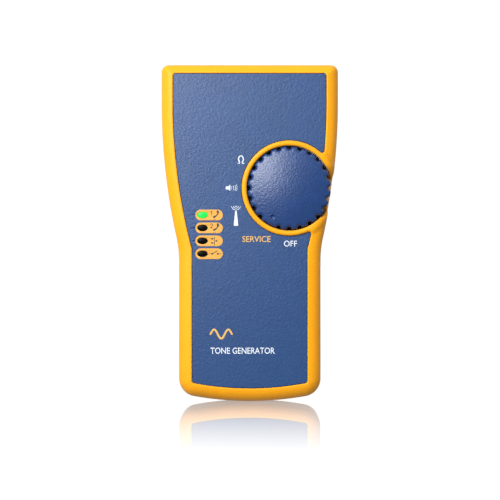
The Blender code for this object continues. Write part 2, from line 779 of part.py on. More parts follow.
def switch_rotor():
    rotor = rod("switch_rotor", DIAL_X, DIAL_Z, ROTOR_RADIUS, ROTOR_FRONT, ROTOR_BACK, 48)
    middle = (ROTOR_FRONT + ROTOR_BACK) / 2
    join(rotor, rod("rotor_shaft", DIAL_X, DIAL_Z, SHAFT_RADIUS, SHAFT_FRONT, middle, 6))
    for index in range(DETENT_PITCHES):
        angle = math.tau * index / DETENT_PITCHES
        x = DIAL_X + ROTOR_RADIUS * math.cos(angle)
        z = DIAL_Z + ROTOR_RADIUS * math.sin(angle)
        cut(rotor, rod(f"detent_notch_{index + 1}", x, z, DETENT_RADIUS + GAP, -BEYOND, BEYOND, 10))
    cut(rotor, rod("rotor_bore", DIAL_X, DIAL_Z, SCREW_HOLE, -BEYOND, BEYOND, 16))
    return rotor


def switch_wiper():
    """A half ring of spring metal with a foot at each end, carried behind the rotor."""
    outer = arc(DIAL_X, DIAL_Z, WIPER_RADIUS, -60.0, 60.0, 10)
    inner = arc(DIAL_X, DIAL_Z, WIPER_RADIUS - WIPER_WIDTH, 60.0, -60.0, 10)
    return prism("switch_wiper", [outer + inner], ROTOR_BACK + GAP, BOARD_FRONT - GAP)


def detent_spring():
    """A leaf held at both ends, with a round nose in the middle that drops into a rotor notch."""
    reach = DIAL_X - ROTOR_RADIUS + DETENT_RADIUS - SPRING_LEAF / 2 - SPRING_X
    straight = SPRING_BEND + SPRING_SLOT
    route = [(SPRING_X, DIAL_Z - SPRING_HALF_LENGTH), (SPRING_X, DIAL_Z - straight)]
    for step in range(1, 10):
        along = -1.0 + step / 5.0
        bulge = reach * (1.0 + math.cos(math.pi * along)) / 2
        route.append((SPRING_X + bulge, DIAL_Z + SPRING_BEND * along))
    route += [(SPRING_X, DIAL_Z + straight), (SPRING_X, DIAL_Z + SPRING_HALF_LENGTH)]
    right, left = [], []
    for index, (x, z) in enumerate(route):
        before = route[max(index - 1, 0)]
        after = route[min(index + 1, len(route) - 1)]
        length = math.dist(before, after)
        side_x = (after[1] - before[1]) / length * SPRING_LEAF / 2
        side_z = -(after[0] - before[0]) / length * SPRING_LEAF / 2
        right.append((x + side_x, z + side_z))
        left.append((x - side_x, z - side_z))
    return prism("detent_spring", [right + left[::-1]], ROTOR_FRONT + OFFSET / 2, ROTOR_BACK - OFFSET / 2)


# Inside ----------------------------------------------------------------------------------------


def main_board():
    board = prism("main_board", [CAVITY.inset(BOARD_SIDE_GAP).points()], BOARD_FRONT, BOARD_BACK)
    front, back = BOARD_FRONT - PAST, BOARD_BACK + PAST
    side = CASE_HALF_WIDTH
    coax_room = COAX_X - COAX_CUP_INNER - COAX_CUP_WALL - GAP
    notch = BATTERY_NOTCH_HALF_WIDTH
    cut(
        board,
        box("below_board", (-side, front, -PAST), (side, back, BOARD_LOW)),
        box("above_board", (-side, front, BOARD_HIGH), (side, back, CASE_HEIGHT)),
        box("battery_notch", (-notch, front, -PAST), (notch, back, BATTERY_NOTCH_TOP)),
        box("coax_notch", (coax_room, front, COAX_NOTCH_LOW), (side, back, CASE_HEIGHT)),
        rod("dial_screw_hole", DIAL_X, DIAL_Z, DIAL_SCREW_ROOM, front, back, 20),
    )
    for index, (x, z) in enumerate(CASE_SCREWS[:2]):
        room = FRONT_BOSS_RADIUS + BOARD_SIDE_GAP
        near, far = sorted((x, math.copysign(side, x)))
        cut(
            board,
            rod(f"boss_hole_{index + 1}", x, z, room, front, back, 24),
            box(f"boss_notch_{index + 1}", (near, front, z - room - OFFSET), (far, back, z + room + OFFSET)),
        )
    for index, (x, z) in enumerate(BOARD_SCREWS):
        cut(board, rod(f"board_hole_{index + 1}", x, z, STANDOFF_BORE, front, back, 12))
    return board


def lens(index, x, z):
    """A light pipe from the lamp to the face, with a flange behind the face plate."""
    outline = ellipse(x, z, LENS_HALF_WIDTH, LENS_HALF_HEIGHT)
    pipe = prism(f"led_lens_{index}", [outline], LENS_FRONT, LENS_BACK, GAP, segments=1)
    lip_x, lip_z = LENS_FLANGE_LIP
    flange = ellipse(x, z, LENS_HALF_WIDTH + lip_x, LENS_HALF_HEIGHT + lip_z)
    behind = FRONT_LEDGE + PLATE + GAP
    join(pipe, prism(f"lens_flange_{index}", [flange], behind, behind + LENS_FLANGE))
    return pipe


def lamp(index, x, z):
    low = (x - LAMP_HALF_WIDTH, LENS_BACK + GAP, z - LAMP_HALF_HEIGHT)
    high = (x + LAMP_HALF_WIDTH, BOARD_FRONT - GAP, z + LAMP_HALF_HEIGHT)
    return box(f"led_{index}", low, high)


def screw(name, place, tip, seat, shank, head_radius, head):
    """A pan-head screw along Y, its head at the back, with a cross recess."""
    x, z = place
    bottom = seat + GAP
    top = bottom + head
    made = rod(name, x, z, shank, tip, bottom + head / 2, 12)
    join(made, rod(name + "_head", x, z, head_radius, bottom, top, 20))
    for turn, (wide, tall) in enumerate((RECESS, RECESS[::-1])):
        low = (x - head_radius * wide, top - head * RECESS_DEPTH, z - head_radius * tall)
        high = (x + head_radius * wide, top + PAST, z + head_radius * tall)
        cut(made, box(f"{name}_recess_{turn + 1}", low, high))
    return made


def on_board(name, low_x, high_x, height, low_z, high_z, edge):
    """A component that stands on the back of the board."""
    back = BOARD_BACK + GAP
    return box(name, (low_x, back, low_z), (high_x, back + height, high_z), edge)


def capacitor(index, x, z):
    back = BOARD_BACK + GAP
    return rod(f"capacitor_{index}", x, z, CAPACITOR_RADIUS, back, back + CAPACITOR_HEIGHT, 20)


def jack(name, x, half_width, outer_half_width, depth, ways):
    """A modular jack and the comb of its contacts."""
    low = JACK_TOP - depth
    housing_low = (x - outer_half_width, JACK_FRONT, low)
    housing = box(name + "_jack", housing_low, (x + outer_half_width, JACK_BACK, JACK_TOP))
    cut(housing, jack_mouth(name + "_room", x, half_width, low + JACK_FLOOR, JACK_TOP + PAST))
    reach = CONTACT_PITCH * (ways - 1) / 2 + 2 * CONTACT_HALF_WIDTH
    root = low + JACK_FLOOR + GAP
    front, back = CONTACT_Y
    comb = box(name + "_contacts", (x - reach, front, root), (x + reach, back, root + PAST))
    for index in range(ways):
        middle = x + CONTACT_PITCH * (index - (ways - 1) / 2)
        finger_low = (middle - CONTACT_HALF_WIDTH, front + OFFSET / 2, root + PAST / 2)
        finger_high = (middle + CONTACT_HALF_WIDTH, back - OFFSET / 2, root + CONTACT_LENGTH)
        join(comb, box(f"{name}_finger_{index + 1}", finger_low, finger_high))
    return housing, comb


def coax_jack():
    """A threaded barrel with a hexagonal flange under the cup's floor and a bore for the insulator."""
    top = COAX_CUP_FLOOR - GAP
    barrel = post("coax_jack", COAX_X, COAX_Y, COAX_THREAD_RADIUS, top - COAX_FLANGE + OFFSET, COAX_TOP, 24)
    join(barrel, post("coax_flange", COAX_X, COAX_Y, COAX_HEX_RADIUS, top - COAX_FLANGE, top, 6))
    bore_low = top - COAX_NUT
    cut(barrel, post("coax_bore", COAX_X, COAX_Y, COAX_BORE, bore_low, COAX_TOP + PAST, 20))
    return barrel


def coax_nut():
    low = COAX_CUP_FLOOR + COAX_PLATE + GAP
    nut = post("coax_nut", COAX_X, COAX_Y, COAX_HEX_RADIUS, low, low + COAX_NUT, 6)
    cut(nut, post("coax_nut_hole", COAX_X, COAX_Y, COAX_THREAD_RADIUS + GAP, low - PAST, COAX_TOP, 24))
    return nut


def coax_insulator():
    low = COAX_CUP_FLOOR - COAX_NUT
    profile = [
        (INSULATOR_BORE, INSULATOR_TOP),
        (INSULATOR_RADIUS, INSULATOR_TOP),
        (INSULATOR_RADIUS, low),
        (0.0, low),
        (0.0, INSULATOR_BORE_LOW),
        (INSULATOR_BORE, INSULATOR_BORE_LOW),
    ]
    return turned("coax_insulator", COAX_X, COAX_Y, profile, 16)


def battery():
    low = (-BATTERY_HALF_WIDTH, BATTERY_FRONT, BATTERY_LOW)
    high = (BATTERY_HALF_WIDTH, BATTERY_FRONT + BATTERY_DEPTH, BATTERY_LOW + BATTERY_BODY)
    return box("battery", low, high, BATTERY_EDGE)


def battery_terminals():
    y = BATTERY_FRONT + BATTERY_DEPTH / 2
    low = BATTERY_LOW + BATTERY_BODY + GAP
    high = low + BATTERY_TERMINAL - GAP
    stud = post("battery_terminal_positive", -TERMINAL_OFFSET, y, STUD_RADIUS, low, high, 20)
    crown = post("battery_terminal_negative", TERMINAL_OFFSET, y, CROWN_RADIUS, low, high, 20)
    cut(crown, post("crown_room", TERMINAL_OFFSET, y, CROWN_BORE, low + PAST / 2, high + PAST, 20))
    return stud, crown


def battery_snap():
    y = BATTERY_FRONT + BATTERY_DEPTH / 2
    low = BATTERY_LOW + BATTERY_BODY + GAP
    snap_low = (-SNAP_HALF_WIDTH, y - SNAP_HALF_DEPTH, low)
    snap = box("battery_snap", snap_low, (SNAP_HALF_WIDTH, y + SNAP_HALF_DEPTH, BOX_HIGH - GAP), SNAP_EDGE)
    socket_high = low + BATTERY_TERMINAL
    for sign, side, radius in (("positive", -1.0, STUD_RADIUS), ("negative", 1.0, CROWN_RADIUS)):
        x = side * TERMINAL_OFFSET
        cut(snap, post("snap_socket_" + sign, x, y, radius + SNAP_CLEARANCE, low - PAST, socket_high, 20))
    return snap


def lead(name, x):
    """A wire from the battery snap to its pad on the board."""
    start = (x, WIRE_START_Y, BOX_HIGH + GAP / 2)
    end = (x, BOARD_BACK + GAP, WIRE_TOP)
    route = [
        start,
        (x, WIRE_START_Y, start[2] + WIRE_BEND),
        (x, WIRE_START_Y - PAST, WIRE_TOP - PAST),
        (x, end[1] + WIRE_BEND, WIRE_TOP),
        end,
    ]
    return tube(name, route, WIRE_RADIUS)


def battery_door():
    edge = DOOR_HALF_WIDTH
    door = box("battery_door", (-edge, DOOR_INNER, HINGE_Z), (edge, REAR_FACE, DOOR_HIGH))
    pin_end = edge + HINGE_PIN_REACH
    join(
        door,
        cylinder("door_barrel", (-edge, HINGE_Y, HINGE_Z), (edge, HINGE_Y, HINGE_Z), HINGE_BARREL, 16),
        cylinder("door_pins", (-pin_end, HINGE_Y, HINGE_Z), (pin_end, HINGE_Y, HINGE_Z), HINGE_PIN, 10),
    )
    return door


def build():
    blue = finish("blue_plastic", 76, 105, 152, 0.55)
    yellow = finish("yellow_rubber", 252, 186, 45, 0.45)
    knob_blue = finish("dial_plastic", 69, 92, 144, 0.6)
    black = finish("black_plastic", 24, 24, 26, 0.5)
    green = finish("green_lens", 50, 225, 90, 0.25)
    dark_lens = finish("dark_lens", 20, 22, 22, 0.25)
    board_green = finish("board_laminate", 28, 88, 52, 0.5)
    steel = finish("zinc_steel", 190, 192, 195, 0.35, 1.0)
    brass = finish("nickel_brass", 205, 190, 150, 0.3, 1.0)
    gold = finish("gold_contact", 226, 178, 80, 0.3, 1.0)
    white = finish("white_plastic", 235, 235, 230, 0.45)
    label = finish("battery_wrap", 40, 42, 48, 0.4)
    foam = finish("grey_foam", 90, 90, 92, 0.95)
    red = finish("red_insulation", 190, 30, 28, 0.5)
    core = finish("transformer_core", 70, 66, 60, 0.6)

    paint(blue, front_shell(), rear_shell())
    paint(yellow, front_bumper(), rear_bumper())
    paint(black, port_panel())

    dial_axis = joint_axis("dial_axis", (DIAL_X, DIAL_BACK, DIAL_Z))
    knob = dial()
    rotor = switch_rotor()
    wiper = switch_wiper()
    dial_screw = screw(
        "dial_screw",
        (DIAL_X, DIAL_Z),
        DIAL_SCREW_TIP,
        DIAL_SCREW_SEAT - GAP,
        SCREW_SHANK,
        DIAL_SCREW_HEAD_RADIUS,
        DIAL_SCREW_HEAD,
    )
    paint(knob_blue, knob)
    paint(white, rotor)
    paint(gold, wiper)
    paint(steel, dial_screw)
    hang_on(dial_axis, knob, rotor, wiper, dial_screw)
    paint(brass, detent_spring())

    paint(board_green, main_board())
    for index, (x, z) in enumerate(lens_places()):
        paint(dark_lens if index else green, lens(index + 1, x, z))
        paint(white, lamp(index + 1, x, z))
    case_screw = (SCREW_TIP, SCREW_SEAT, SCREW_SHANK, SCREW_HEAD_RADIUS, SCREW_HEAD)
    for index, place in enumerate(CASE_SCREWS):
        paint(steel, screw(f"case_screw_{index + 1}", place, *case_screw))
    board_screw = (BOARD_SCREW_TIP, BOARD_BACK, BOARD_SCREW_SHANK, BOARD_SCREW_HEAD_RADIUS, BOARD_SCREW_HEAD)
    for index, place in enumerate(BOARD_SCREWS):
        paint(steel, screw(f"board_screw_{index + 1}", place, *board_screw))

    paint(black, on_board("microcontroller", *CHIP, OFFSET))
    paint(steel, on_board("crystal", *CRYSTAL, 0.0010))
    paint(core, on_board("transformer", *TRANSFORMER, 0.0004))
    paint(black, on_board("relay", *RELAY, 0.0004))
    for index, place in enumerate(CAPACITORS):
        paint(label, capacitor(index + 1, *place))

    for name, sizes in (("rj45", RJ45), ("rj11", RJ11)):
        housing, comb = jack(name, *sizes)
        paint(black, housing)
        paint(gold, comb)
    paint(brass, coax_jack(), coax_nut())
    paint(white, coax_insulator())

    paint(label, battery())
    paint(steel, *battery_terminals())
    paint(black, battery_snap())
    paint(red, lead("wire_red", -WIRE_OFFSET))
    paint(black, lead("wire_black", WIRE_OFFSET))

    door_axis = joint_axis("battery_door_axis", (0.0, HINGE_Y, HINGE_Z))
    door = battery_door()
    pad = box("door_foam_pad", PAD_LOW, (PAD_HIGH[0], DOOR_INNER - GAP, PAD_HIGH[1]))
    paint(blue, door)
    paint(foam, pad)
    hang_on(door_axis, door, pad)


for startup_object in list(bpy.data.objects):
    bpy.data.objects.remove(startup_object)
PARTS = collection("tone_generator")
CUTTERS = collection("cutters")
build()
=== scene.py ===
"""Looks of the tone generator: moulded case, dial, prints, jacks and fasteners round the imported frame."""

import json
import math

import bmesh
import bpy
import numpy as np
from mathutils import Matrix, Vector
from mathutils.geometry import tessellate_polygon

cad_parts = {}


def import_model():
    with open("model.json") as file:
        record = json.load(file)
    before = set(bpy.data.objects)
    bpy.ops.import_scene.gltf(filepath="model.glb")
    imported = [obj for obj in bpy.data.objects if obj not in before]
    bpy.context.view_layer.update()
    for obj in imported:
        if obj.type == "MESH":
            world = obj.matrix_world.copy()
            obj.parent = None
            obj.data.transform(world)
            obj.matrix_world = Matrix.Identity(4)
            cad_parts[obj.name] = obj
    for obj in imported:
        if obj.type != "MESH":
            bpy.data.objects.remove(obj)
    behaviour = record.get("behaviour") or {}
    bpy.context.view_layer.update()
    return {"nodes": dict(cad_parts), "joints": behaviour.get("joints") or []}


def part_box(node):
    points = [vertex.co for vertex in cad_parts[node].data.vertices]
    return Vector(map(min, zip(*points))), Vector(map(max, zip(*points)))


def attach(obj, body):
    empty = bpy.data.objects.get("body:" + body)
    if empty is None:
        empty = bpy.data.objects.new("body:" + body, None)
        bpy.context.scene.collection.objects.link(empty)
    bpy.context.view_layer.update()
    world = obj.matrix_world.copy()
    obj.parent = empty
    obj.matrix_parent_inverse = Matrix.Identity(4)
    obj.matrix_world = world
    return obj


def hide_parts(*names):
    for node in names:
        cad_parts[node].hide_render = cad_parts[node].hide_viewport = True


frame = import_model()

MM = 0.001

# Levels of the case from the front (-Y) to the back, as in the CAD model.
GAP = 0.3 * MM
FRONT_CREST = -13.5 * MM
FRONT_FACE = -13.0 * MM
FRONT_LEDGE = -11.5 * MM
PARTING = 1.5 * MM
REAR_LEDGE = 14.5 * MM
REAR_FACE = 16.0 * MM
REAR_CREST = 16.5 * MM
CASE_TOP = 142.0 * MM
CASE_HALF_WIDTH = 37.25 * MM
PLATE = 2.0 * MM
BUMPER_WALL = 2.2 * MM
SHELL_WALL = 1.8 * MM
FIT = 0.12 * MM

# Dial well and ring.
RING_INNER = 17.85 * MM
RING_OUTER = 20.0 * MM
RING_CREST = -14.2 * MM
RING_BACK = -6.3 * MM
WELL_FLOOR = -6.0 * MM
PANEL_FILLET = 1.0 * MM

FRONT = -1.0
REAR = 1.0


def middle(node):
    low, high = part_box(node)
    return (low + high) / 2


DIAL = middle("dial")
DIAL_LOW, DIAL_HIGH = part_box("dial")


# Outlines --------------------------------------------------------------------------------------

# A distance beyond any on the object, and how close points, levels and angles count as the same.
FAR = 1.0
SHORTEST_LINE = 1e-6
SAME_POINT = 2e-6
SAME_LEVEL = 1e-7
DEGREES_SLACK = 1e-7

WINDOW_FLANK = 242.0 * MM


class Loop:
    """Closed anticlockwise outline in (x, z), made of arcs and the straight lines between them."""

    def __init__(self, arcs):
        self.arcs = arcs

    def inset(self, depth):
        """The outline moved inwards by depth."""
        arcs = []
        for x, z, radius, start, end in self.arcs:
            turned = radius - depth if end > start else radius + depth
            arcs.append((x, z, max(turned, 0.0), start, end))
        return Loop(arcs)

    def lines(self):
        """The straight lines that join one arc to the next."""
        ends = []
        for index, (x, z, radius, _, end) in enumerate(self.arcs):
            after = self.arcs[(index + 1) % len(self.arcs)]
            here = on_circle(x, z, radius, end)
            there = on_circle(*after[:4])
            if math.dist(here, there) > SHORTEST_LINE:
                ends.append((here, there))
        return ends

    def distance(self, x, z):
        """Signed distance to the outline, below 0 inside."""
        best = np.full(np.shape(x), FAR)
        for cx, cz, radius, start, end in self.arcs:
            away = np.hypot(x - cx, z - cz)
            angle = np.degrees(np.arctan2(z - cz, x - cx))
            if end > start:
                signed = away - radius
                turn = np.mod(angle - start, 360.0)
            else:
                signed = radius - away
                turn = np.mod(start - angle, 360.0)
            take = (turn <= abs(end - start) + DEGREES_SLACK) & (np.abs(signed) < np.abs(best))
            best = np.where(take, signed, best)
        for (ax, az), (bx, bz) in self.lines():
            length = math.dist((ax, az), (bx, bz))
            tx, tz = (bx - ax) / length, (bz - az) / length
            along = (x - ax) * tx + (z - az) * tz
            signed = (x - ax) * tz - (z - az) * tx
            take = (along >= 0) & (along <= length) & (np.abs(signed) < np.abs(best))
            best = np.where(take, signed, best)
        return best


def on_circle(x, z, radius, degrees):
    angle = math.radians(degrees)
    return (x + radius * math.cos(angle), z + radius * math.sin(angle))


def case_loop(top, half_width, shoulder, flank, waist, fillet, foot, foot_radius, foot_corner, top_corner):
    """Outline with a bowed foot, straight waist, concave fillet, bowed flank and straight shoulder."""
    foot_z = foot + foot_radius
    corner_x = waist - foot_corner
    corner_z = foot_z - math.sqrt((foot_radius - foot_corner) ** 2 - corner_x**2)
    foot_end = math.degrees(math.atan2(corner_z - foot_z, corner_x))
    flank_x = half_width - flank
    across = waist + fillet - flank_x
    along = math.sqrt((flank + fillet) ** 2 - across**2)
    turn = math.degrees(math.atan2(along, across))
    right = [
        (corner_x, corner_z, foot_corner, foot_end, 0.0),
        (waist + fillet, shoulder - along, fillet, 180.0, 180.0 - turn),
        (flank_x, shoulder, flank, -turn, 0.0),
        (half_width - top_corner, top - top_corner, top_corner, 0.0, 90.0),
    ]
    left = [(-x, z, radius, 180.0 - end, 180.0 - start) for x, z, radius, start, end in reversed(right)]
    return Loop([(0.0, foot_z, foot_radius, -180.0 - foot_end, foot_end)] + right + left)


CASE = case_loop(
    top=CASE_TOP,
    half_width=CASE_HALF_WIDTH,
    shoulder=126.0 * MM,
    flank=260.0 * MM,
    waist=29.9 * MM,
    fillet=45.0 * MM,
    foot=0.02 * MM,
    foot_radius=135.0 * MM,
    foot_corner=7.6 * MM,
    top_corner=3.2 * MM,
)
WINDOW = case_loop(
    top=138.2 * MM,
    half_width=32.3 * MM,
    shoulder=126.0 * MM,
    flank=WINDOW_FLANK,
    waist=24.3 * MM,
    fillet=6.0 * MM,
    foot=5.7 * MM,
    foot_radius=126.0 * MM,
    foot_corner=1.2 * MM,
    top_corner=1.2 * MM,
)


def circles_meet(first, second, side):
    """Where two circles (x, z, radius) cross, on the given side of the line from first to second."""
    (ax, az, a), (bx, bz, b) = first, second
    apart = math.dist((ax, az), (bx, bz))
    along = (apart**2 + a**2 - b**2) / (2 * apart)
    off = side * math.sqrt(a**2 - along**2)
    ux, uz = (bx - ax) / apart, (bz - az) / apart
    return (ax + along * ux - off * uz, az + along * uz + off * ux)


def bearing(origin, point):
    return math.degrees(math.atan2(point[1] - origin[1], point[0] - origin[0]))


def bitten_window():
    """The window in the front bumper: the dial's ring takes a round bite out of its right side."""
    arcs = list(WINDOW.arcs)
    index = next(i for i, (x, _, radius, _, _) in enumerate(arcs) if radius == WINDOW_FLANK and x < 0)
    x, z, radius, start, end = arcs[index]
    dial = (DIAL.x, DIAL.z, RING_OUTER + PANEL_FILLET)
    flank = (x, z, radius - PANEL_FILLET)
    low = circles_meet(flank, dial, -1.0)
    high = circles_meet(flank, dial, 1.0)
    low_turn, high_turn = bearing((x, z), low), bearing((x, z), high)
    low_ring = bearing((DIAL.x, DIAL.z), low)
    high_ring = bearing((DIAL.x, DIAL.z), high)
    bite = [
        (x, z, radius, start, low_turn),
        (*low, PANEL_FILLET, low_turn, low_ring + 180.0),
        (DIAL.x, DIAL.z, RING_OUTER, low_ring + 360.0, high_ring),
        (*high, PANEL_FILLET, high_ring - 180.0, high_turn),
        (x, z, radius, high_turn, end),
    ]
    return Loop(arcs[:index] + bite + arcs[index + 1 :])


PANEL = bitten_window()


def ring_loop(x, z, radius, start=0.0):
    return Loop([(x, z, radius, start, start + 180.0), (x, z, radius, start + 180.0, start + 360.0)])


# Meshes from signed distance fields ------------------------------------------------------------


def round_max(a, b, radius):
    """What two fields share, with a round edge."""
    corner = np.hypot(np.maximum(a + radius, 0.0), np.maximum(b + radius, 0.0))
    return np.minimum(-radius, np.maximum(a, b)) + corner


def smooth_max(a, b, width):
    """What two fields share, with a soft blend."""
    share = np.clip(0.5 + 0.5 * (a - b) / width, 0.0, 1.0)
    return b + (a - b) * share + width * share * (1.0 - share)


def smooth_step(value, start, end):
    t = np.clip((value - start) / (end - start), 0.0, 1.0)
    return t * t * (3.0 - 2.0 * t)


def levels(*stops):
    """Grid planes from (position, spacing) stops: each stretch is divided at about its spacing."""
    planes = []
    for (start, spacing), (end, _) in zip(stops, stops[1:]):
        count = max(1, round((end - start) / spacing))
        planes += list(np.linspace(start, end, count + 1)[:-1])
    return np.array(planes + [stops[-1][0]])


def net(name, field, xs, ys, zs, settle=3):
    """The zero level of a field as a mesh of quads: one point per mixed cell, moved onto the level."""
    flat_x, flat_z = np.meshgrid(xs, zs, indexing="ij")
    values = np.empty((len(xs), len(ys), len(zs)), np.float32)
    plan = field.plan(flat_x, flat_z)
    for j, y in enumerate(ys):
        values[:, j, :] = field.solid(plan, flat_x, y, flat_z)
    inside = values < 0.0
    axes = (xs, ys, zs)
    cells = tuple(count - 1 for count in values.shape)
    total = np.zeros(cells + (3,), np.float32)
    count = np.zeros(cells, np.int16)
    crossings = []
    for axis in range(3):
        low = [slice(None)] * 3
        high = [slice(None)] * 3
        low[axis], high[axis] = slice(None, -1), slice(1, None)
        mixed = np.argwhere(inside[tuple(low)] != inside[tuple(high)])
        start = values[tuple(mixed.T)]
        step = np.zeros(3, int)
        step[axis] = 1
        end = values[tuple((mixed + step).T)]
        share = start / (start - end)
        place = np.stack([axes[k][mixed[:, k]] for k in range(3)], axis=1)
        place[:, axis] += share * (axes[axis][mixed[:, axis] + 1] - axes[axis][mixed[:, axis]])
        others = [k for k in range(3) if k != axis]
        corners = []
        for da, db in ((-1, -1), (0, -1), (0, 0), (-1, 0)):
            cell = mixed.copy()
            cell[:, others[0]] += da
            cell[:, others[1]] += db
            fits = np.all((cell >= 0) & (cell < np.array(cells)), axis=1)
            np.add.at(total, tuple(cell[fits].T), place[fits])
            np.add.at(count, tuple(cell[fits].T), 1)
            corners.append(cell)
        crossings.append((axis, corners, start < 0))
    used = np.argwhere(count > 0)
    number = np.full(cells, -1, np.int64)
    number[tuple(used.T)] = np.arange(len(used))
    points = total[tuple(used.T)].astype(np.float64) / count[tuple(used.T)][:, None]
    faces = []
    for axis, corners, outward in crossings:
        ids = np.stack([number[tuple(cell.T)] for cell in corners], axis=1)
        flip = outward if axis == 1 else ~outward
        ids[flip] = ids[flip][:, ::-1]
        faces.append(ids)
    faces = np.concatenate(faces)
    for _ in range(settle):
        points = settled(field, points)
    return mesh_object(name, points, faces)


SLOPE_STEP = 2e-6
LEAST_SLOPE = 0.25
LONGEST_MOVE = 0.2 * MM


def settled(field, points):
    """Moves each point along the field's slope towards its zero level."""
    x, y, z = points.T
    step = SLOPE_STEP

    def value(px, py, pz):
        return field.solid(field.plan(px, pz), px, py, pz)

    here = value(x, y, z)
    slope = np.stack(
        [
            (value(x + step, y, z) - here) / step,
            (value(x, y + step, z) - here) / step,
            (value(x, y, z + step) - here) / step,
        ],
        axis=1,
    )
    length = np.maximum((slope**2).sum(axis=1), LEAST_SLOPE)
    move = -here[:, None] * slope / length[:, None]
    size = np.linalg.norm(move, axis=1, keepdims=True)
    return points + move * np.minimum(1.0, LONGEST_MOVE / np.maximum(size, 1e-12))


def mesh_object(name, points, faces, smooth=True):
    mesh = bpy.data.meshes.new(name)
    mesh.from_pydata([tuple(map(float, p)) for p in points], [], [tuple(map(int, f)) for f in faces])
    mesh.validate()
    if smooth:
        mesh.shade_smooth()
    obj = bpy.data.objects.new(name, mesh)
    bpy.context.scene.collection.objects.link(obj)
    return obj


def rounded_block(x, y, z, low, high, edge=0.2 * MM):
    """Distance to a box between two corners, its edges rounded."""
    reach = [np.abs(v - (a + b) / 2) - (b - a) / 2 + edge for v, a, b in zip((x, y, z), low, high)]
    outside = np.sqrt(sum(np.maximum(r, 0.0) ** 2 for r in reach))
    return outside + np.minimum(np.maximum(np.maximum(reach[0], reach[1]), reach[2]), 0.0) - edge


def rod(x, y, z, place, radius, front, back, edge=0.2 * MM):
    """Distance to a round bar along Y, its rims rounded."""
    away = np.hypot(x - place[0], z - place[1]) - radius
    return round_max(away, np.abs(y - (front + back) / 2) - (back - front) / 2, edge)


def post(x, y, z, place, radius, low, high, edge=0.2 * MM):
    """Distance to a round bar along Z, its rims rounded."""
    away = np.hypot(x - place[0], y - place[1]) - radius
    return round_max(away, np.abs(z - (low + high) / 2) - (high - low) / 2, edge)


def rods(x, y, z, places, radius, front, back):
    """Distance to the nearest of several round bars along Y."""
    return np.minimum.reduce([rod(x, y, z, place.xz, radius, front, back) for place in places])


def oval(x, z, centre, half_width, half_height):
    """Distance to an upright oval, near its rim."""
    return (np.hypot((x - centre[0]) / half_width, (z - centre[1]) / half_height) - 1.0) * half_height


def around(low, high, spacing, margin=0.6 * MM):
    """Even grid planes past both ends of a range."""
    return levels((low - margin, spacing), (high + margin, spacing))


def net_round(name, field, low, high, spacing):
    """The net of a field that fills a box."""
    xs, ys, zs = (around(a, b, spacing) for a, b in zip(low, high))
    return net(name, field, xs, ys, zs)


class Field:
    """A solid as a signed distance field. What depends on x and z alone is worked out once, in plan."""

    def plan(self, x, z):
        return None


# Bumpers ---------------------------------------------------------------------------------------

CREST_WIDTH = 6.0 * MM
CREST_DROP = 4.6 * MM
FOOT_DROP = 1.4 * MM
LIP_EDGE = 0.45 * MM
RING_EDGE = 0.95 * MM
SEAM_EDGE = 0.3 * MM
PORT_EDGE = 0.5 * MM
POCKET_EDGE = 1.0 * MM
PORT_LOW, PORT_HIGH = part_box("port_panel")
PORT_FRAME_LOW = PORT_HIGH.z - 3.2 * MM
PORT_SKIRT = 2.0 * MM
SCOOP_Y = -17.5 * MM
SCOOP_Z = 88.0 * MM
SCOOP_RADIUS = 10.6 * MM
SCOOP_BLEND = 2.4 * MM
SCOOP_START = 27.0 * MM
DISH_DEPTH = 0.75 * MM
PORT_ROOM_EDGE = 0.4 * MM
PORT_ROOM_TOP = 150.0 * MM

# Where each blend of the bumper starts and where it ends.
RING_BLEND = (RING_OUTER + 2.2 * MM, RING_OUTER - 0.2 * MM)
DISH_LOW = (78.5 * MM, 84.0 * MM)
DISH_HIGH = (97.0 * MM, 91.0 * MM)
DISH_SIDE = (20.0 * MM, 28.0 * MM)
DISH_BACK = (0.5 * MM, -5.0 * MM)
FOOT_BLEND = (16.0 * MM, 3.0 * MM)

# The grid of each bumper. The stops along Y are (place, spacing) in mm, finest at the rounded rims.
BUMPER_GRID = 0.35 * MM
BUMPER_X = (-38.0 * MM, 38.0 * MM)
BUMPER_Z = (-0.7 * MM, 142.8 * MM)
BUMPER_STOPS = {
    FRONT: ((-15.0, 0.33), (-11.2, 0.6), (-5.8, 1.2), (0.9, 0.3), (2.1, 1.0)),
    REAR: ((0.9, 0.3), (2.1, 1.2), (14.1, 0.33), (17.4, 1.0)),
}


def port_room(x, y, z):
    """The opening in the top end that the port panel fills."""
    low = (PORT_LOW.x - GAP, PORT_LOW.y - GAP, PORT_FRAME_LOW - PORT_SKIRT)
    high = (PORT_HIGH.x + GAP, PORT_HIGH.y + GAP, PORT_ROOM_TOP)
    return rounded_block(x, y, z, low, high, PORT_ROOM_EDGE)


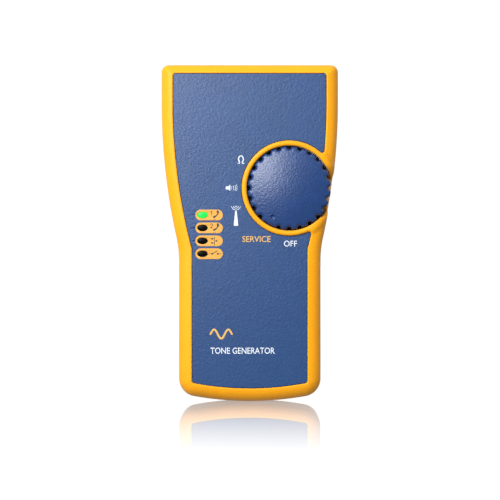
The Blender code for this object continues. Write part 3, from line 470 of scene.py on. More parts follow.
class Bumper(Field):
    """The soft frame round one half of the case."""

    def __init__(self, outward):
        self.outward = outward
        self.window = PANEL if outward == FRONT else WINDOW

    def plan(self, x, z):
        away = np.hypot(x - DIAL.x, z - DIAL.z)
        return CASE.distance(x, z), self.window.distance(x, z), away

    def solid(self, plan, x, y, z):
        case, window, away = plan
        out = self.outward
        if out == FRONT:
            ring = smooth_step(away, *RING_BLEND)
            crest = -FRONT_CREST + ring * (FRONT_CREST - RING_CREST)
            ledge, seam = -FRONT_LEDGE, -(PARTING - GAP / 2)
            dish = smooth_step(z, *DISH_LOW) * smooth_step(z, *DISH_HIGH)
            dish = dish * smooth_step(x, *DISH_SIDE)
            case = case + DISH_DEPTH * dish * smooth_step(y, *DISH_BACK)
        else:
            ring = 0.0
            crest = REAR_CREST
            ledge, seam = REAR_LEDGE, PARTING + GAP / 2
        height = out * y
        u = np.maximum(case + CREST_WIDTH, 0.0) / CREST_WIDTH
        drop = CREST_DROP + FOOT_DROP * smooth_step(z, *FOOT_BLEND)
        v = np.maximum(height - crest + drop, 0.0) / drop
        body = (np.hypot(u, v) - 1.0) * CREST_DROP
        body = np.maximum(body, np.maximum(case, height - crest))
        edge = LIP_EDGE + ring * (RING_EDGE - LIP_EDGE)
        body = round_max(body, -window, edge)
        pocket = round_max(case + BUMPER_WALL, height - (ledge + GAP), POCKET_EDGE)
        if out == FRONT:
            wall = np.maximum(away - RING_OUTER, y - RING_BACK)
            pocket = np.maximum(pocket, -wall)
            hole = np.maximum(away - RING_INNER, y - RING_BACK)
            body = round_max(body, -hole, RING_EDGE)
            scoop = np.maximum(np.hypot(y - SCOOP_Y, z - SCOOP_Z) - SCOOP_RADIUS, SCOOP_START - x)
            body = smooth_max(body, -scoop, SCOOP_BLEND)
        body = np.maximum(body, -pocket)
        body = round_max(body, -port_room(x, y, z), PORT_EDGE)
        return round_max(body, seam - height, SEAM_EDGE)


def bumper(name, outward):
    xs, zs = (levels((low, BUMPER_GRID), (high, BUMPER_GRID)) for low, high in (BUMPER_X, BUMPER_Z))
    ys = levels(*((place * MM, spacing * MM) for place, spacing in BUMPER_STOPS[outward]))
    return net(name, Bumper(outward), xs, ys, zs)


# Plates ----------------------------------------------------------------------------------------


ARC_SAG = 0.004 * MM
ARC_STEP = 5.0 * MM
RIM_STEPS = 3
SHARP_TURN = 50


def steps_of(loop):
    """How many steps each arc of a loop takes to look round."""
    steps = []
    for _, _, radius, start, end in loop.arcs:
        turn = math.radians(abs(end - start))
        finest = 2 * math.acos(max(1.0 - ARC_SAG / max(radius, ARC_SAG), -1.0))
        steps.append(max(1, math.ceil(turn / finest), math.ceil(radius * turn / ARC_STEP)))
    return steps


def spread(loop, steps):
    """Points of a loop with a set number of steps in each arc."""
    made = []
    for (x, z, radius, start, end), count in zip(loop.arcs, steps):
        made += [on_circle(x, z, radius, start + (end - start) * i / count) for i in range(count + 1)]
    return made


def offsets(loop, depths):
    """The loop moved inwards by each depth, with matching points."""
    steps = steps_of(loop)
    base = spread(loop, steps)
    kept = [i for i, point in enumerate(base) if math.dist(point, base[i - 1]) > SAME_POINT]
    return [[spread(loop.inset(depth), steps)[i] for i in kept] for depth in depths]


def rim_profile(front, back, front_edge, back_edge):
    """(inset, y) from the front face over both rounded rims to the back face."""
    profile = []
    for index in range(RIM_STEPS + 1):
        angle = math.pi / 2 * index / RIM_STEPS
        profile.append((front_edge * (1 - math.sin(angle)), front + front_edge * (1 - math.cos(angle))))
    for index in range(RIM_STEPS + 1):
        angle = math.pi / 2 * (1 - index / RIM_STEPS)
        profile.append((back_edge * (1 - math.sin(angle)), back - back_edge * (1 - math.cos(angle))))
    kept = [profile[0]]
    for level in profile[1:]:
        if math.dist(level, kept[-1]) > SAME_LEVEL:
            kept.append(level)
    return kept


def plate(name, outer, holes, front, back, front_edge=0.0, back_edge=0.0):
    """A flat plate facing Y with rounded rims: an outer loop and the loops of its holes."""
    profile = rim_profile(front, back, front_edge, back_edge)
    points, faces, caps = [], [], ([], [])
    for loop, sign in [(outer, 1.0)] + [(hole, -1.0) for hole in holes]:
        rings = offsets(loop, [sign * depth for depth, _ in profile])
        start, count = len(points), len(rings[0])
        for ring, (_, y) in zip(rings, profile):
            points += [(x, y, z) for x, z in ring]
        for level in range(len(profile) - 1):
            for i in range(count):
                j = (i + 1) % count
                near, far = start + level * count, start + (level + 1) * count
                quad = (near + i, far + i, far + j, near + j)
                faces.append(quad if sign > 0 else quad[::-1])
        caps[0].append([start + i for i in range(count)])
        caps[1].append([start + (len(profile) - 1) * count + i for i in range(count)])
    for cap, wanted in zip(caps, (-1.0, 1.0)):
        flat = [[Vector((points[i][0], points[i][2], 0.0)) for i in ring] for ring in cap]
        index = [i for ring in cap for i in ring]
        for triangle in tessellate_polygon(flat):
            a, b, c = (index[i] for i in triangle)
            (ax, _, az), (bx, _, bz), (cx, _, cz) = points[a], points[b], points[c]
            turn = (bx - ax) * (cz - az) - (bz - az) * (cx - ax)
            faces.append((a, b, c) if turn * wanted < 0 else (c, b, a))
    obj = mesh_object(name, points, faces)
    weigh_normals(obj)
    return obj


def weigh_normals(obj):
    """Keeps large flat faces flat under smooth shading."""
    modifier = obj.modifiers.new("weighted", "WEIGHTED_NORMAL")
    modifier.weight = 100
    modifier.mode = "FACE_AREA"


def oval_loop(x, z, half_width, half_height, sides=40):
    """A polygon close to an oval, as a loop of points with no rounding."""
    arcs = []
    for i in range(sides):
        angle = math.tau * (i / sides)
        arcs.append((x + half_width * math.cos(angle), z + half_height * math.sin(angle), 0.0, 0.0, 0.0))
    return Loop(arcs)


def turned(name, place, profile, sides, stretch):
    """A (radius, y) profile turned about a line along Y, from the axis at the front to that at the back."""
    points, faces, rows = [], [], []
    for radius, y in profile:
        if radius == 0.0:
            rows.append([len(points)] * sides)
            points.append((place[0], y, place[1]))
            continue
        rows.append(list(range(len(points), len(points) + sides)))
        for i in range(sides):
            angle = math.tau * i / sides
            x = place[0] + radius * stretch[0] * math.cos(angle)
            points.append((x, y, place[1] + radius * stretch[1] * math.sin(angle)))
    for near, far in zip(rows, rows[1:]):
        for i in range(sides):
            j = (i + 1) % sides
            faces.append(list(dict.fromkeys((near[i], far[i], far[j], near[j]))))
    obj = mesh_object(name, points, faces)
    obj.data.set_sharp_from_angle(angle=math.radians(SHARP_TURN))
    return obj


# Shells ----------------------------------------------------------------------------------------

WELL_RADIUS = RING_OUTER + GAP
WELL_WALL = 1.6 * MM
FLOOR_PLATE = 1.6 * MM
SHAFT_HOLE = 3.2 * MM
FRONT_BOSS = 2.8 * MM
REAR_BOSS = 4.3 * MM
SCREW_HOLE = 1.5 * MM
SCREW_WELL = 3.1 * MM
STANDOFF = 2.6 * MM
STANDOFF_HOLE = 1.3 * MM
FACE_EDGE = 0.25 * MM
TRAY_EDGE = 0.4 * MM
TRAY_GRID = 0.58 * MM
LIP_INSET = 1.0 * MM
LIP_HEIGHT = 1.1 * MM
SEAM_LIP_EDGE = 0.15 * MM
HOLE_EDGE = 0.2 * MM
STANDOFF_TOP = -1.3 * MM

# Where the drilled holes start and end.
FRONT_HOLE = (-8.0 * MM, 9.0 * MM)
STANDOFF_DRILL = (-7.5 * MM, 9.0 * MM)
REAR_HOLE = (-9.0 * MM, 30.0 * MM)
WELL_END = 40.0 * MM
BEHIND = 30.0 * MM

CASE_SCREWS = [middle(f"case_screw_{index}") for index in range(1, 5)]
BOARD_SCREWS = [middle(f"board_screw_{index}") for index in range(1, 4)]
SCREW_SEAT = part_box("case_screw_1")[1].y - 2.5 * MM
LENSES = [middle(f"led_lens_{index}") for index in range(1, 5)]
LENS_LOW, LENS_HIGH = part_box("led_lens_1")
LENS_HALF_WIDTH = 2.15 * MM
LENS_HALF_HEIGHT = 1.35 * MM

# The front of a lens: (share of its half width and half height, depth behind the CAD lens's front in mm).
LENS_DOME = ((0.0, -0.15), (0.35, -0.13), (0.65, -0.06), (0.88, 0.06), (0.97, 0.16), (1.0, 0.30))

DOOR_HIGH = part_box("battery_door")[1]
DOOR_HALF_WIDTH = 15.6 * MM
DOOR_INNER = 14.3 * MM
HINGE = next(joint["pos_m"] for joint in frame["joints"] if joint["child"] == "door")
HINGE_BARREL = 1.6 * MM
HINGE_PIN = 0.6 * MM
HINGE_BLOCK = 1.5 * MM
HINGE_REACH = 2.2 * MM
HINGE_BORE_END = 17.5 * MM
NOTCH_HALF_WIDTH = 5.0 * MM
NOTCH_HEIGHT = 2.5 * MM
BOX_HALF_WIDTH = 13.6 * MM
BOX_WALL = 1.5 * MM
BOX_LOW, BOX_HIGH = 13.0 * MM, 64.9 * MM
BOX_FRONT = -4.9 * MM
BOX_EDGE = 0.5 * MM
FRAME_EDGE = 0.3 * MM
LEAD_HALF_WIDTH = 6.0 * MM
LEAD_Y = (3.0 * MM, 9.0 * MM)
BATTERY_LOW, BATTERY_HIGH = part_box("battery")


class FrontTray(Field):
    """The front shell behind its face: walls, dial well, bosses and standoffs."""

    def plan(self, x, z):
        return CASE.distance(x, z) + BUMPER_WALL + GAP, np.hypot(x - DIAL.x, z - DIAL.z)

    def solid(self, plan, x, y, z):
        shell, away = plan
        body = round_max(shell, FRONT_LEDGE - y, TRAY_EDGE)
        hollow = np.maximum(shell + SHELL_WALL, FRONT_LEDGE + PLATE - y)
        body = round_max(body, -hollow, TRAY_EDGE / 2)
        cup = np.maximum(away - WELL_RADIUS - WELL_WALL, shell + SHELL_WALL / 3)
        cup = np.maximum(cup, np.maximum(y - (WELL_FLOOR + FLOOR_PLATE), FRONT_LEDGE + 0.2 * MM - y))
        body = np.minimum(body, cup)
        body = np.minimum(body, rods(x, y, z, CASE_SCREWS, FRONT_BOSS, FRONT_LEDGE + MM, PARTING - GAP))
        body = np.minimum(body, rods(x, y, z, BOARD_SCREWS, STANDOFF, FRONT_LEDGE + MM, STANDOFF_TOP))
        well = np.maximum(away - WELL_RADIUS, y - WELL_FLOOR)
        body = round_max(body, -well, HOLE_EDGE)
        body = np.maximum(body, SHAFT_HOLE - away)
        for place in LENSES:
            body = np.maximum(body, -oval(x, z, place.xz, LENS_HALF_WIDTH + GAP, LENS_HALF_HEIGHT + GAP))
        body = np.maximum(body, -rods(x, y, z, CASE_SCREWS, SCREW_HOLE, *FRONT_HOLE))
        body = np.maximum(body, -rods(x, y, z, BOARD_SCREWS, STANDOFF_HOLE, *STANDOFF_DRILL))
        body = np.maximum(body, -port_room(x, y, z))
        lip = np.maximum(shell + LIP_INSET, y - (PARTING + LIP_HEIGHT))
        return round_max(body, np.minimum(y - (PARTING - GAP / 2), lip), SEAM_LIP_EDGE)


class RearTray(Field):
    """The rear shell behind its face: walls, battery box, screw wells and hinge blocks."""

    def plan(self, x, z):
        return CASE.distance(x, z) + BUMPER_WALL + GAP

    def solid(self, shell, x, y, z):
        body = round_max(shell, y - REAR_LEDGE, TRAY_EDGE)
        hollow = np.maximum(shell + SHELL_WALL, y - (REAR_LEDGE - PLATE))
        body = round_max(body, -hollow, TRAY_EDGE / 2)
        outer = BOX_HALF_WIDTH + BOX_WALL
        box_low = (-outer, BOX_FRONT - BOX_WALL, BOX_LOW - BOX_WALL)
        box_high = (outer, REAR_LEDGE, BOX_HIGH + BOX_WALL)
        box = rounded_block(x, y, z, box_low, box_high, TRAY_EDGE)
        body = np.minimum(body, rods(x, y, z, CASE_SCREWS, REAR_BOSS, PARTING + GAP, REAR_LEDGE))
        for side in (-1.0, 1.0):
            block = side * (DOOR_HALF_WIDTH + HINGE_BLOCK)
            low = (block - HINGE_BLOCK, HINGE[1] - HINGE_REACH, HINGE[2] - HINGE_REACH)
            high = (block + HINGE_BLOCK, REAR_LEDGE, HINGE[2] + HINGE_REACH)
            body = np.minimum(body, rounded_block(x, y, z, low, high))
        body = np.maximum(body, (PARTING + GAP / 2) - y)
        rebate = np.maximum(shell + LIP_INSET - GAP, y - (PARTING + LIP_HEIGHT + GAP))
        rebate = np.maximum(rebate, -(shell + SHELL_WALL + GAP))
        body = np.maximum(body, -rebate)
        body = np.minimum(body, box)
        room_low, room_high = (-BOX_HALF_WIDTH, BOX_FRONT, BOX_LOW), (BOX_HALF_WIDTH, BEHIND, BOX_HIGH)
        body = round_max(body, -rounded_block(x, y, z, room_low, room_high, BOX_EDGE), HOLE_EDGE)
        window_low = (-DOOR_HALF_WIDTH - GAP, DOOR_INNER - 0.5 * MM, HINGE[2] - HINGE_BARREL - GAP)
        window_high = (DOOR_HALF_WIDTH + GAP, BEHIND, DOOR_HIGH.z + GAP)
        body = np.maximum(body, -rounded_block(x, y, z, window_low, window_high, FRAME_EDGE))
        barrel_low = (window_low[0], HINGE[1] - HINGE_BARREL - GAP, window_low[2])
        barrel_high = (window_high[0], BEHIND, HINGE[2] + HINGE_BARREL + GAP)
        body = np.maximum(body, -rounded_block(x, y, z, barrel_low, barrel_high, FRAME_EDGE))
        bore = np.hypot(y - HINGE[1], z - HINGE[2]) - HINGE_PIN - GAP
        body = np.maximum(body, -np.maximum(bore, np.abs(x) - HINGE_BORE_END))
        lead_low = (-LEAD_HALF_WIDTH, LEAD_Y[0], BOX_HIGH - MM)
        lead_high = (LEAD_HALF_WIDTH, LEAD_Y[1], BOX_HIGH + BOX_WALL + MM)
        body = np.maximum(body, -rounded_block(x, y, z, lead_low, lead_high, BOX_EDGE))
        for place in CASE_SCREWS:
            body = round_max(body, -rod(x, y, z, place.xz, SCREW_WELL, SCREW_SEAT, WELL_END), HOLE_EDGE)
            body = np.maximum(body, -rod(x, y, z, place.xz, SCREW_HOLE, *REAR_HOLE))
        return np.maximum(body, -port_room(x, y, z))


def tray(name, field, front, back):
    xs = around(-CASE_HALF_WIDTH, CASE_HALF_WIDTH, TRAY_GRID)
    zs = around(0.0, CASE_TOP, TRAY_GRID)
    ys = around(front, back, TRAY_GRID)
    return net(name, field, xs, ys, zs)


def lens_hole(place):
    return oval_loop(place.x, place.z, LENS_HALF_WIDTH + FIT / 2, LENS_HALF_HEIGHT + FIT / 2)


def front_face():
    """The flat face in the bumper's window, with the holes of the indicators."""
    holes = [lens_hole(place) for place in LENSES]
    return plate("front_shell_face", PANEL.inset(FIT), holes, FRONT_FACE, FRONT_LEDGE + 0.5 * MM, FACE_EDGE)


def door_frame_loop():
    """The door's window in the rear face, with the finger notch at its top."""
    half, corner, bend = DOOR_HALF_WIDTH + GAP, 0.6 * MM, 0.6 * MM
    low, high = HINGE[2] - HINGE_BARREL - GAP, DOOR_HIGH.z + GAP
    top = DOOR_HIGH.z + NOTCH_HEIGHT
    return Loop(
        [
            (half - corner, low + corner, corner, -90.0, 0.0),
            (half - corner, high - corner, corner, 0.0, 90.0),
            (NOTCH_HALF_WIDTH + bend, high + bend, bend, 270.0, 180.0),
            (NOTCH_HALF_WIDTH - bend, top - bend, bend, 0.0, 90.0),
            (-NOTCH_HALF_WIDTH + bend, top - bend, bend, 90.0, 180.0),
            (-NOTCH_HALF_WIDTH - bend, high + bend, bend, 360.0, 270.0),
            (-half + corner, high - corner, corner, 90.0, 180.0),
            (-half + corner, low + corner, corner, 180.0, 270.0),
        ]
    )


def rear_face():
    """The flat face in the rear bumper's window, with the door's window and the screw wells."""
    holes = [door_frame_loop()] + [ring_loop(place.x, place.z, SCREW_WELL) for place in CASE_SCREWS]
    return plate(
        "rear_shell_face", WINDOW.inset(FIT), holes, REAR_LEDGE - 0.4 * MM, REAR_FACE, back_edge=FACE_EDGE
    )


# Dial ------------------------------------------------------------------------------------------

DIAL_RADIUS = 17.5 * MM
DIAL_CROWN = 2.3 * MM
DIAL_CROWN_POWER = 2.0
DIAL_RIM_EDGE = 1.2 * MM
NOTCH_PITCH = 15.0
NOTCH_RADIUS = 0.9 * MM
NOTCH_CENTRE = 17.25 * MM
LAND_EDGE = 0.45 * MM
POINTER_ANGLE = -120.0
POINTER_RADIUS = 14.0 * MM
POINTER_DIMPLE = 0.9 * MM
HUB_RADIUS = 4.6 * MM
DIAL_HOLLOW = 15.0 * MM
DIAL_SKIN = 2.7 * MM
SOCKET_DEPTH = 3.7 * MM
POINTER_SINK = 0.15 * MM
DIAL_EDGE = 0.3 * MM


class Dial(Field):
    """The scalloped knob: a crowned face, a notch at every pitch but the pointer's, and a dimple."""

    def plan(self, x, z):
        dx, dz = x - DIAL.x, z - DIAL.z
        away = np.hypot(dx, dz)
        turn = np.degrees(np.arctan2(dz, dx)) - POINTER_ANGLE
        number = np.round(turn / NOTCH_PITCH)
        folded = np.radians(turn - number * NOTCH_PITCH)
        notch = np.hypot(away * np.cos(folded) - NOTCH_CENTRE, away * np.sin(folded)) - NOTCH_RADIUS
        notch = np.where(np.mod(number, 360.0 / NOTCH_PITCH) == 0, DIAL_RADIUS, notch)
        return away, round_max(away - DIAL_RADIUS, -notch, LAND_EDGE)

    def solid(self, plan, x, y, z):
        away, outline = plan
        crown = DIAL_CROWN * (away / DIAL_RADIUS) ** DIAL_CROWN_POWER
        body = round_max(outline, DIAL_LOW.y + crown - y, DIAL_RIM_EDGE)
        body = round_max(body, y - DIAL_HIGH.y, DIAL_EDGE)
        hollow = np.maximum(np.maximum(away - DIAL_HOLLOW, HUB_RADIUS - away), DIAL_LOW.y + DIAL_SKIN - y)
        body = round_max(body, -hollow, DIAL_EDGE)
        socket = np.maximum(away - SHAFT_HOLE, DIAL_HIGH.y - SOCKET_DEPTH - y)
        body = np.maximum(body, -socket)
        dimple_x, dimple_z = on_circle(DIAL.x, DIAL.z, POINTER_RADIUS, POINTER_ANGLE)
        face = DIAL_LOW.y + DIAL_CROWN * (POINTER_RADIUS / DIAL_RADIUS) ** DIAL_CROWN_POWER
        deep = np.sqrt((x - dimple_x) ** 2 + (y - face + POINTER_SINK) ** 2 + (z - dimple_z) ** 2)
        return round_max(body, POINTER_DIMPLE - deep, 0.1 * MM)


# Door ------------------------------------------------------------------------------------------

GRIP_COUNT = 5
GRIP_PITCH = 1.6 * MM
GRIP_HALF_WIDTH = 8.0 * MM
GRIP_RADIUS = 0.7 * MM
GRIP_DEPTH = 0.45 * MM
GRIP_TOP = 2.8 * MM
DOOR_EDGE = 0.35 * MM
BARREL_EDGE = 0.2 * MM
DOOR_GRID = ((-17.2 * MM, 12.8 * MM, 9.4 * MM), (17.2 * MM, 16.0 * MM, 65.7 * MM))


class Door(Field):
    """The battery door: a plate with grip grooves at its free end, a hinge barrel and its pins."""

    def solid(self, plan, x, y, z):
        low = (-DOOR_HALF_WIDTH, DOOR_INNER, HINGE[2])
        high = (DOOR_HALF_WIDTH, REAR_FACE, DOOR_HIGH.z)
        body = rounded_block(x, y, z, low, high, DOOR_EDGE)
        axle = np.hypot(y - HINGE[1], z - HINGE[2])
        barrel = round_max(axle - HINGE_BARREL, np.abs(x) - DOOR_HALF_WIDTH, BARREL_EDGE)
        pin = round_max(axle - HINGE_PIN, np.abs(x) - DOOR_HIGH.x, BARREL_EDGE)
        body = np.minimum(np.minimum(body, barrel), pin)
        for index in range(GRIP_COUNT):
            groove_z = DOOR_HIGH.z - GRIP_TOP - index * GRIP_PITCH
            deep = np.hypot(y - REAR_FACE - GRIP_RADIUS + GRIP_DEPTH, z - groove_z) - GRIP_RADIUS
            body = round_max(body, -np.maximum(deep, np.abs(x) - GRIP_HALF_WIDTH), 0.15 * MM)
        return body


FOAM_CROWN = 0.28 * MM
FOAM_EDGE = 0.38 * MM


class FoamPad(Field):
    """A soft pad glued to the door: crowned towards the battery, its edges pulled in."""

    def __init__(self):
        self.low, self.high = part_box("door_foam_pad")

    def solid(self, plan, x, y, z):
        centre, half = (self.low + self.high) / 2, (self.high - self.low) / 2
        across = np.clip(np.abs(x - centre.x) / half.x, 0.0, 1.0) ** 4
        along = np.clip(np.abs(z - centre.z) / half.z, 0.0, 1.0) ** 12
        lift = FOAM_CROWN * np.maximum(across, along)
        raised = np.maximum(y - lift, self.low.y - MM)
        return rounded_block(x, raised, z, self.low, self.high, FOAM_EDGE)


CAN_EDGE = 1.6 * MM
CRIMP_DEPTH = 0.12 * MM
CRIMP_HALF_WIDTH = 0.25 * MM


class Battery(Field):
    """A 9 V battery: a sheet-metal can crimped over its two ends."""

    def solid(self, plan, x, y, z):
        body = rounded_block(x, y, z, BATTERY_LOW, BATTERY_HIGH, CAN_EDGE)
        for level in (BATTERY_LOW.z + CAN_EDGE, BATTERY_HIGH.z - CAN_EDGE):
            groove = np.abs(z - level) - CRIMP_HALF_WIDTH
            body = body + CRIMP_DEPTH * smooth_step(groove, 0.25 * MM, -0.05 * MM)
        return body


# Fasteners -------------------------------------------------------------------------------------

THREAD_PITCH = 1.0 * MM
THREAD_DEPTH = 0.28 * MM
SCREW_SHANK = 1.2 * MM
HEAD_ROUNDING = 0.75
RECESS_DEPTH = 0.6

# Half length and half width of the cross recess as shares of the head's radius, and their taper.
RECESS_LENGTH = (0.62, 0.35)
RECESS_WIDTH = (0.15, 0.05)

NUT_EDGE = 0.12 * MM
NUT_CHAMFER = 0.15 * MM


class Screw(Field):
    """A pan-head screw along Y, its head at the back, with a thread and a cross recess."""

    def __init__(self, node, head_radius, head):
        self.low, self.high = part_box(node)
        self.place = middle(node)
        self.head_radius, self.head = head_radius, head

    def solid(self, plan, x, y, z):
        dx, dz = x - self.place.x, z - self.place.z
        away = np.hypot(dx, dz)
        under = self.high.y - self.head
        phase = (y - self.low.y) / THREAD_PITCH + np.arctan2(dz, dx) / math.tau
        wave = np.abs(np.mod(phase, 1.0) - 0.5) * 2.0
        shank = SCREW_SHANK - THREAD_DEPTH * wave
        shank = shank * smooth_step(y, self.low.y - 0.8 * MM, self.low.y + 1.6 * MM)
        body = np.maximum(away - shank, np.maximum(self.low.y - y, y - under - 0.3 * MM)) * 0.8
        height = np.abs(y - (under + self.high.y) / 2) - self.head / 2
        head = round_max(away - self.head_radius, height, HEAD_ROUNDING * self.head)
        head = np.maximum(head, under - y)
        taper = np.maximum(self.high.y - y, 0.0) / self.head
        arm_length = self.head_radius * (RECESS_LENGTH[0] - RECESS_LENGTH[1] * taper)
        arm_width = self.head_radius * (RECESS_WIDTH[0] - RECESS_WIDTH[1] * taper)
        depth = self.high.y - RECESS_DEPTH * self.head - y
        for u, v in ((dx, dz), (dz, dx)):
            arm = np.maximum(np.abs(u) - arm_length, np.abs(v) - arm_width)
            head = np.maximum(head, -np.maximum(arm, depth))
        return np.minimum(body, head)

class HexNut(Field):
    """The nut of the coaxial jack, chamfered on both sides."""

    def __init__(self, node, bore):
        self.low, self.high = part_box(node)
        self.centre = (self.low + self.high) / 2
        self.flat = (self.high.x - self.low.x) / 2
        self.bore = bore

    def solid(self, plan, x, y, z):
        dx, dy = x - self.centre.x, y - self.centre.y
        away = np.hypot(dx, dy)
        body = np.full(np.broadcast(x, y, z).shape, -1.0)
        for turn in (0.0, 60.0, 120.0):
            nx, ny = on_circle(0.0, 0.0, 1.0, turn)
            body = np.maximum(body, np.abs(dx * nx + dy * ny) - self.flat)
        height = np.abs(z - self.centre.z) - (self.high.z - self.low.z) / 2
        body = round_max(body, height, NUT_EDGE)
        cone = (away - self.flat - NUT_CHAMFER + height * 1.8) * 0.5
        body = np.maximum(body, cone)
        return np.maximum(body, self.bore - away)


# Ports -----------------------------------------------------------------------------------------

COAX = middle("coax_insulator")
COAX_CUP = 7.2 * MM
COAX_CUP_WALL = 1.0 * MM
COAX_PLATE = 1.5 * MM
COAX_THREAD = 4.72 * MM
COAX_BORE = 3.6 * MM
COAX_FLANGE_TOP = PORT_LOW.z - GAP
COAX_SKIRT_Y = -4.5 * MM
BARREL_SIDES = 48
BARREL_PITCH = 0.794 * MM
BARREL_DEPTH = 0.35 * MM
BARREL_SHARP_TURN = 40
FLANGE_CHAMFER = 0.3 * MM
MOUTH_LOW = 100.0 * MM
PANEL_ABOVE = 160.0 * MM
MOUTH_Y = (3.6 * MM, 11.0 * MM)
LATCH_Y = 1.9 * MM
LATCH_HALF_WIDTH = 3.4 * MM
MOUTH_EDGE = 0.3 * MM
MOUTHS = [(middle("rj45_jack").x, 6.2 * MM), (middle("rj11_jack").x, 5.1 * MM)]


class PortPanel(Field):
    """The black insert in the top end: two modular mouths and the cup of the coaxial jack."""

    def solid(self, plan, x, y, z):
        low = (PORT_LOW.x, PORT_LOW.y, PORT_FRAME_LOW)
        body = rounded_block(x, y, z, low, PORT_HIGH, 0.45 * MM)
        cup = post(x, y, z, (COAX.x, COAX.y), COAX_CUP + COAX_CUP_WALL, PORT_LOW.z, PORT_FRAME_LOW + MM)
        body = np.minimum(body, cup)
        room = post(x, y, z, (COAX.x, COAX.y), COAX_CUP, PORT_LOW.z + COAX_PLATE, PANEL_ABOVE, 0.5 * MM)
        body = round_max(body, -room, 0.35 * MM)
        hole = np.hypot(x - COAX.x, y - COAX.y) - COAX_THREAD - GAP
        body = np.maximum(body, -hole)
        for mouth_x, half in MOUTHS:
            cuts = []
            for reach, front, back in ((half, *MOUTH_Y), (LATCH_HALF_WIDTH, LATCH_Y, MOUTH_Y[0] + MM)):
                low, high = (mouth_x - reach, front, MOUTH_LOW), (mouth_x + reach, back, PANEL_ABOVE)
                cuts.append(rounded_block(x, y, z, low, high))
            body = round_max(body, -np.minimum(*cuts), MOUTH_EDGE)
        return body


def barrel_row(centre, z, size):
    """A ring of points round the barrel's axis. size gives the radius at each side's number."""
    row = []
    for i in range(BARREL_SIDES):
        angle = math.tau * i / BARREL_SIDES
        radius = size(i)
        row.append((centre[0] + radius * math.cos(angle), centre[1] + radius * math.sin(angle), z))
    return row


def hexagon(reach):
    """Radius of a hexagon whose corners reach out along Y, at each side of the barrel."""
    sixth = math.pi / 3

    def size(i):
        angle = math.tau * i / BARREL_SIDES
        return reach * math.cos(math.pi / 6) / math.cos((angle + math.pi / 6) % sixth - math.pi / 6)

    return size


def thread(z):
    """Radius of the thread at a height, at each side of the barrel."""

    def size(i):
        wave = abs((z / BARREL_PITCH - i / BARREL_SIDES) % 1.0 - 0.5) * 2.0
        return COAX_THREAD - BARREL_DEPTH * min(1.0, max(0.0, 1.35 * wave - 0.15))

    return size


def coax_barrel():
    """The threaded barrel of the coaxial jack with its flange, open at the top."""
    low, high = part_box("coax_jack")
    centre = ((low.x + high.x) / 2, (low.y + high.y) / 2)
    reach = (high.y - low.y) / 2
    top, chamfer = COAX_FLANGE_TOP, FLANGE_CHAMFER
    thread_end = high.z - 0.5 * MM
    steps = math.ceil((thread_end - top) / (BARREL_PITCH / 6))
    thread_levels = [top + (thread_end - top) * index / steps for index in range(steps + 1)]
    profile = [
        (low.z, hexagon(reach - chamfer)),
        (low.z + chamfer, hexagon(reach)),
        (top - chamfer, hexagon(reach)),
        (top, hexagon(reach - chamfer)),
        (top, lambda i: COAX_THREAD - BARREL_DEPTH),
        *((z, thread(z)) for z in thread_levels),
        (high.z, lambda i: COAX_THREAD - 0.55 * MM),
        (high.z, lambda i: COAX_BORE + 0.15 * MM),
        (high.z - 0.15 * MM, lambda i: COAX_BORE),
        (top - 2.0 * MM, lambda i: COAX_BORE),
    ]
    points = [point for z, size in profile for point in barrel_row(centre, z, size)]
    faces = []
    for here in range(0, len(points) - BARREL_SIDES, BARREL_SIDES):
        above = here + BARREL_SIDES
        for i in range(BARREL_SIDES):
            j = (i + 1) % BARREL_SIDES
            faces.append((here + i, here + j, above + j, above + i))
    faces.append(tuple(range(BARREL_SIDES))[::-1])
    faces.append(tuple(range(len(points) - BARREL_SIDES, len(points))))
    obj = mesh_object("coax_barrel", points, faces)
    obj.data.set_sharp_from_angle(angle=math.radians(BARREL_SHARP_TURN))
    return obj


# Prints ----------------------------------------------------------------------------------------

INK = 0.04 * MM
PILL_HALF_WIDTH = 5.75 * MM
PILL_HALF_HEIGHT = 2.27 * MM
PILL_SHIFT = 2.7 * MM
WAVE_RADIUS = 4.5 * MM
TEXT_SIZE = 0.01
TEXT_BODY = 0.001
TEXT_WELD = 1e-6
WORD_WEIGHT = 0.00005


def ink(name, outlines, base=FRONT_FACE, height=INK):
    """Flat printed shapes, each a closed outline of (x, z) points, standing just proud of the face."""
    points, faces = [], []
    for order, outline in enumerate(outlines):
        front = base - height * (1.0 + 0.08 * order)
        back = base + height / 2
        start, count = len(points), len(outline)
        area = sum(ax * bz - bx * az for (ax, az), (bx, bz) in zip(outline, outline[1:] + outline[:1]))
        ring = outline if area > 0 else outline[::-1]
        points += [(x, front, z) for x, z in ring] + [(x, back, z) for x, z in ring]
        for i in range(count):
            j = (i + 1) % count
            faces.append((start + i, start + count + i, start + count + j, start + j))
        flat = [Vector((x, z, 0.0)) for x, z in ring]
        for triangle in tessellate_polygon([flat]):
            a, b, c = triangle
            turn = (flat[b] - flat[a]).cross(flat[c] - flat[a]).z
            a, b, c = (a, b, c) if turn > 0 else (c, b, a)
            faces.append((start + a, start + b, start + c))
            faces.append((start + count + c, start + count + b, start + count + a))
    return mesh_object(name, points, faces, smooth=False)


def arc_points(x, z, radius, start, end, steps=16):
    return [on_circle(x, z, radius, start + (end - start) * i / steps) for i in range(steps + 1)]


def disc(x, z, radius):
    return arc_points(x, z, radius, 0.0, 360.0, 24)[:-1]


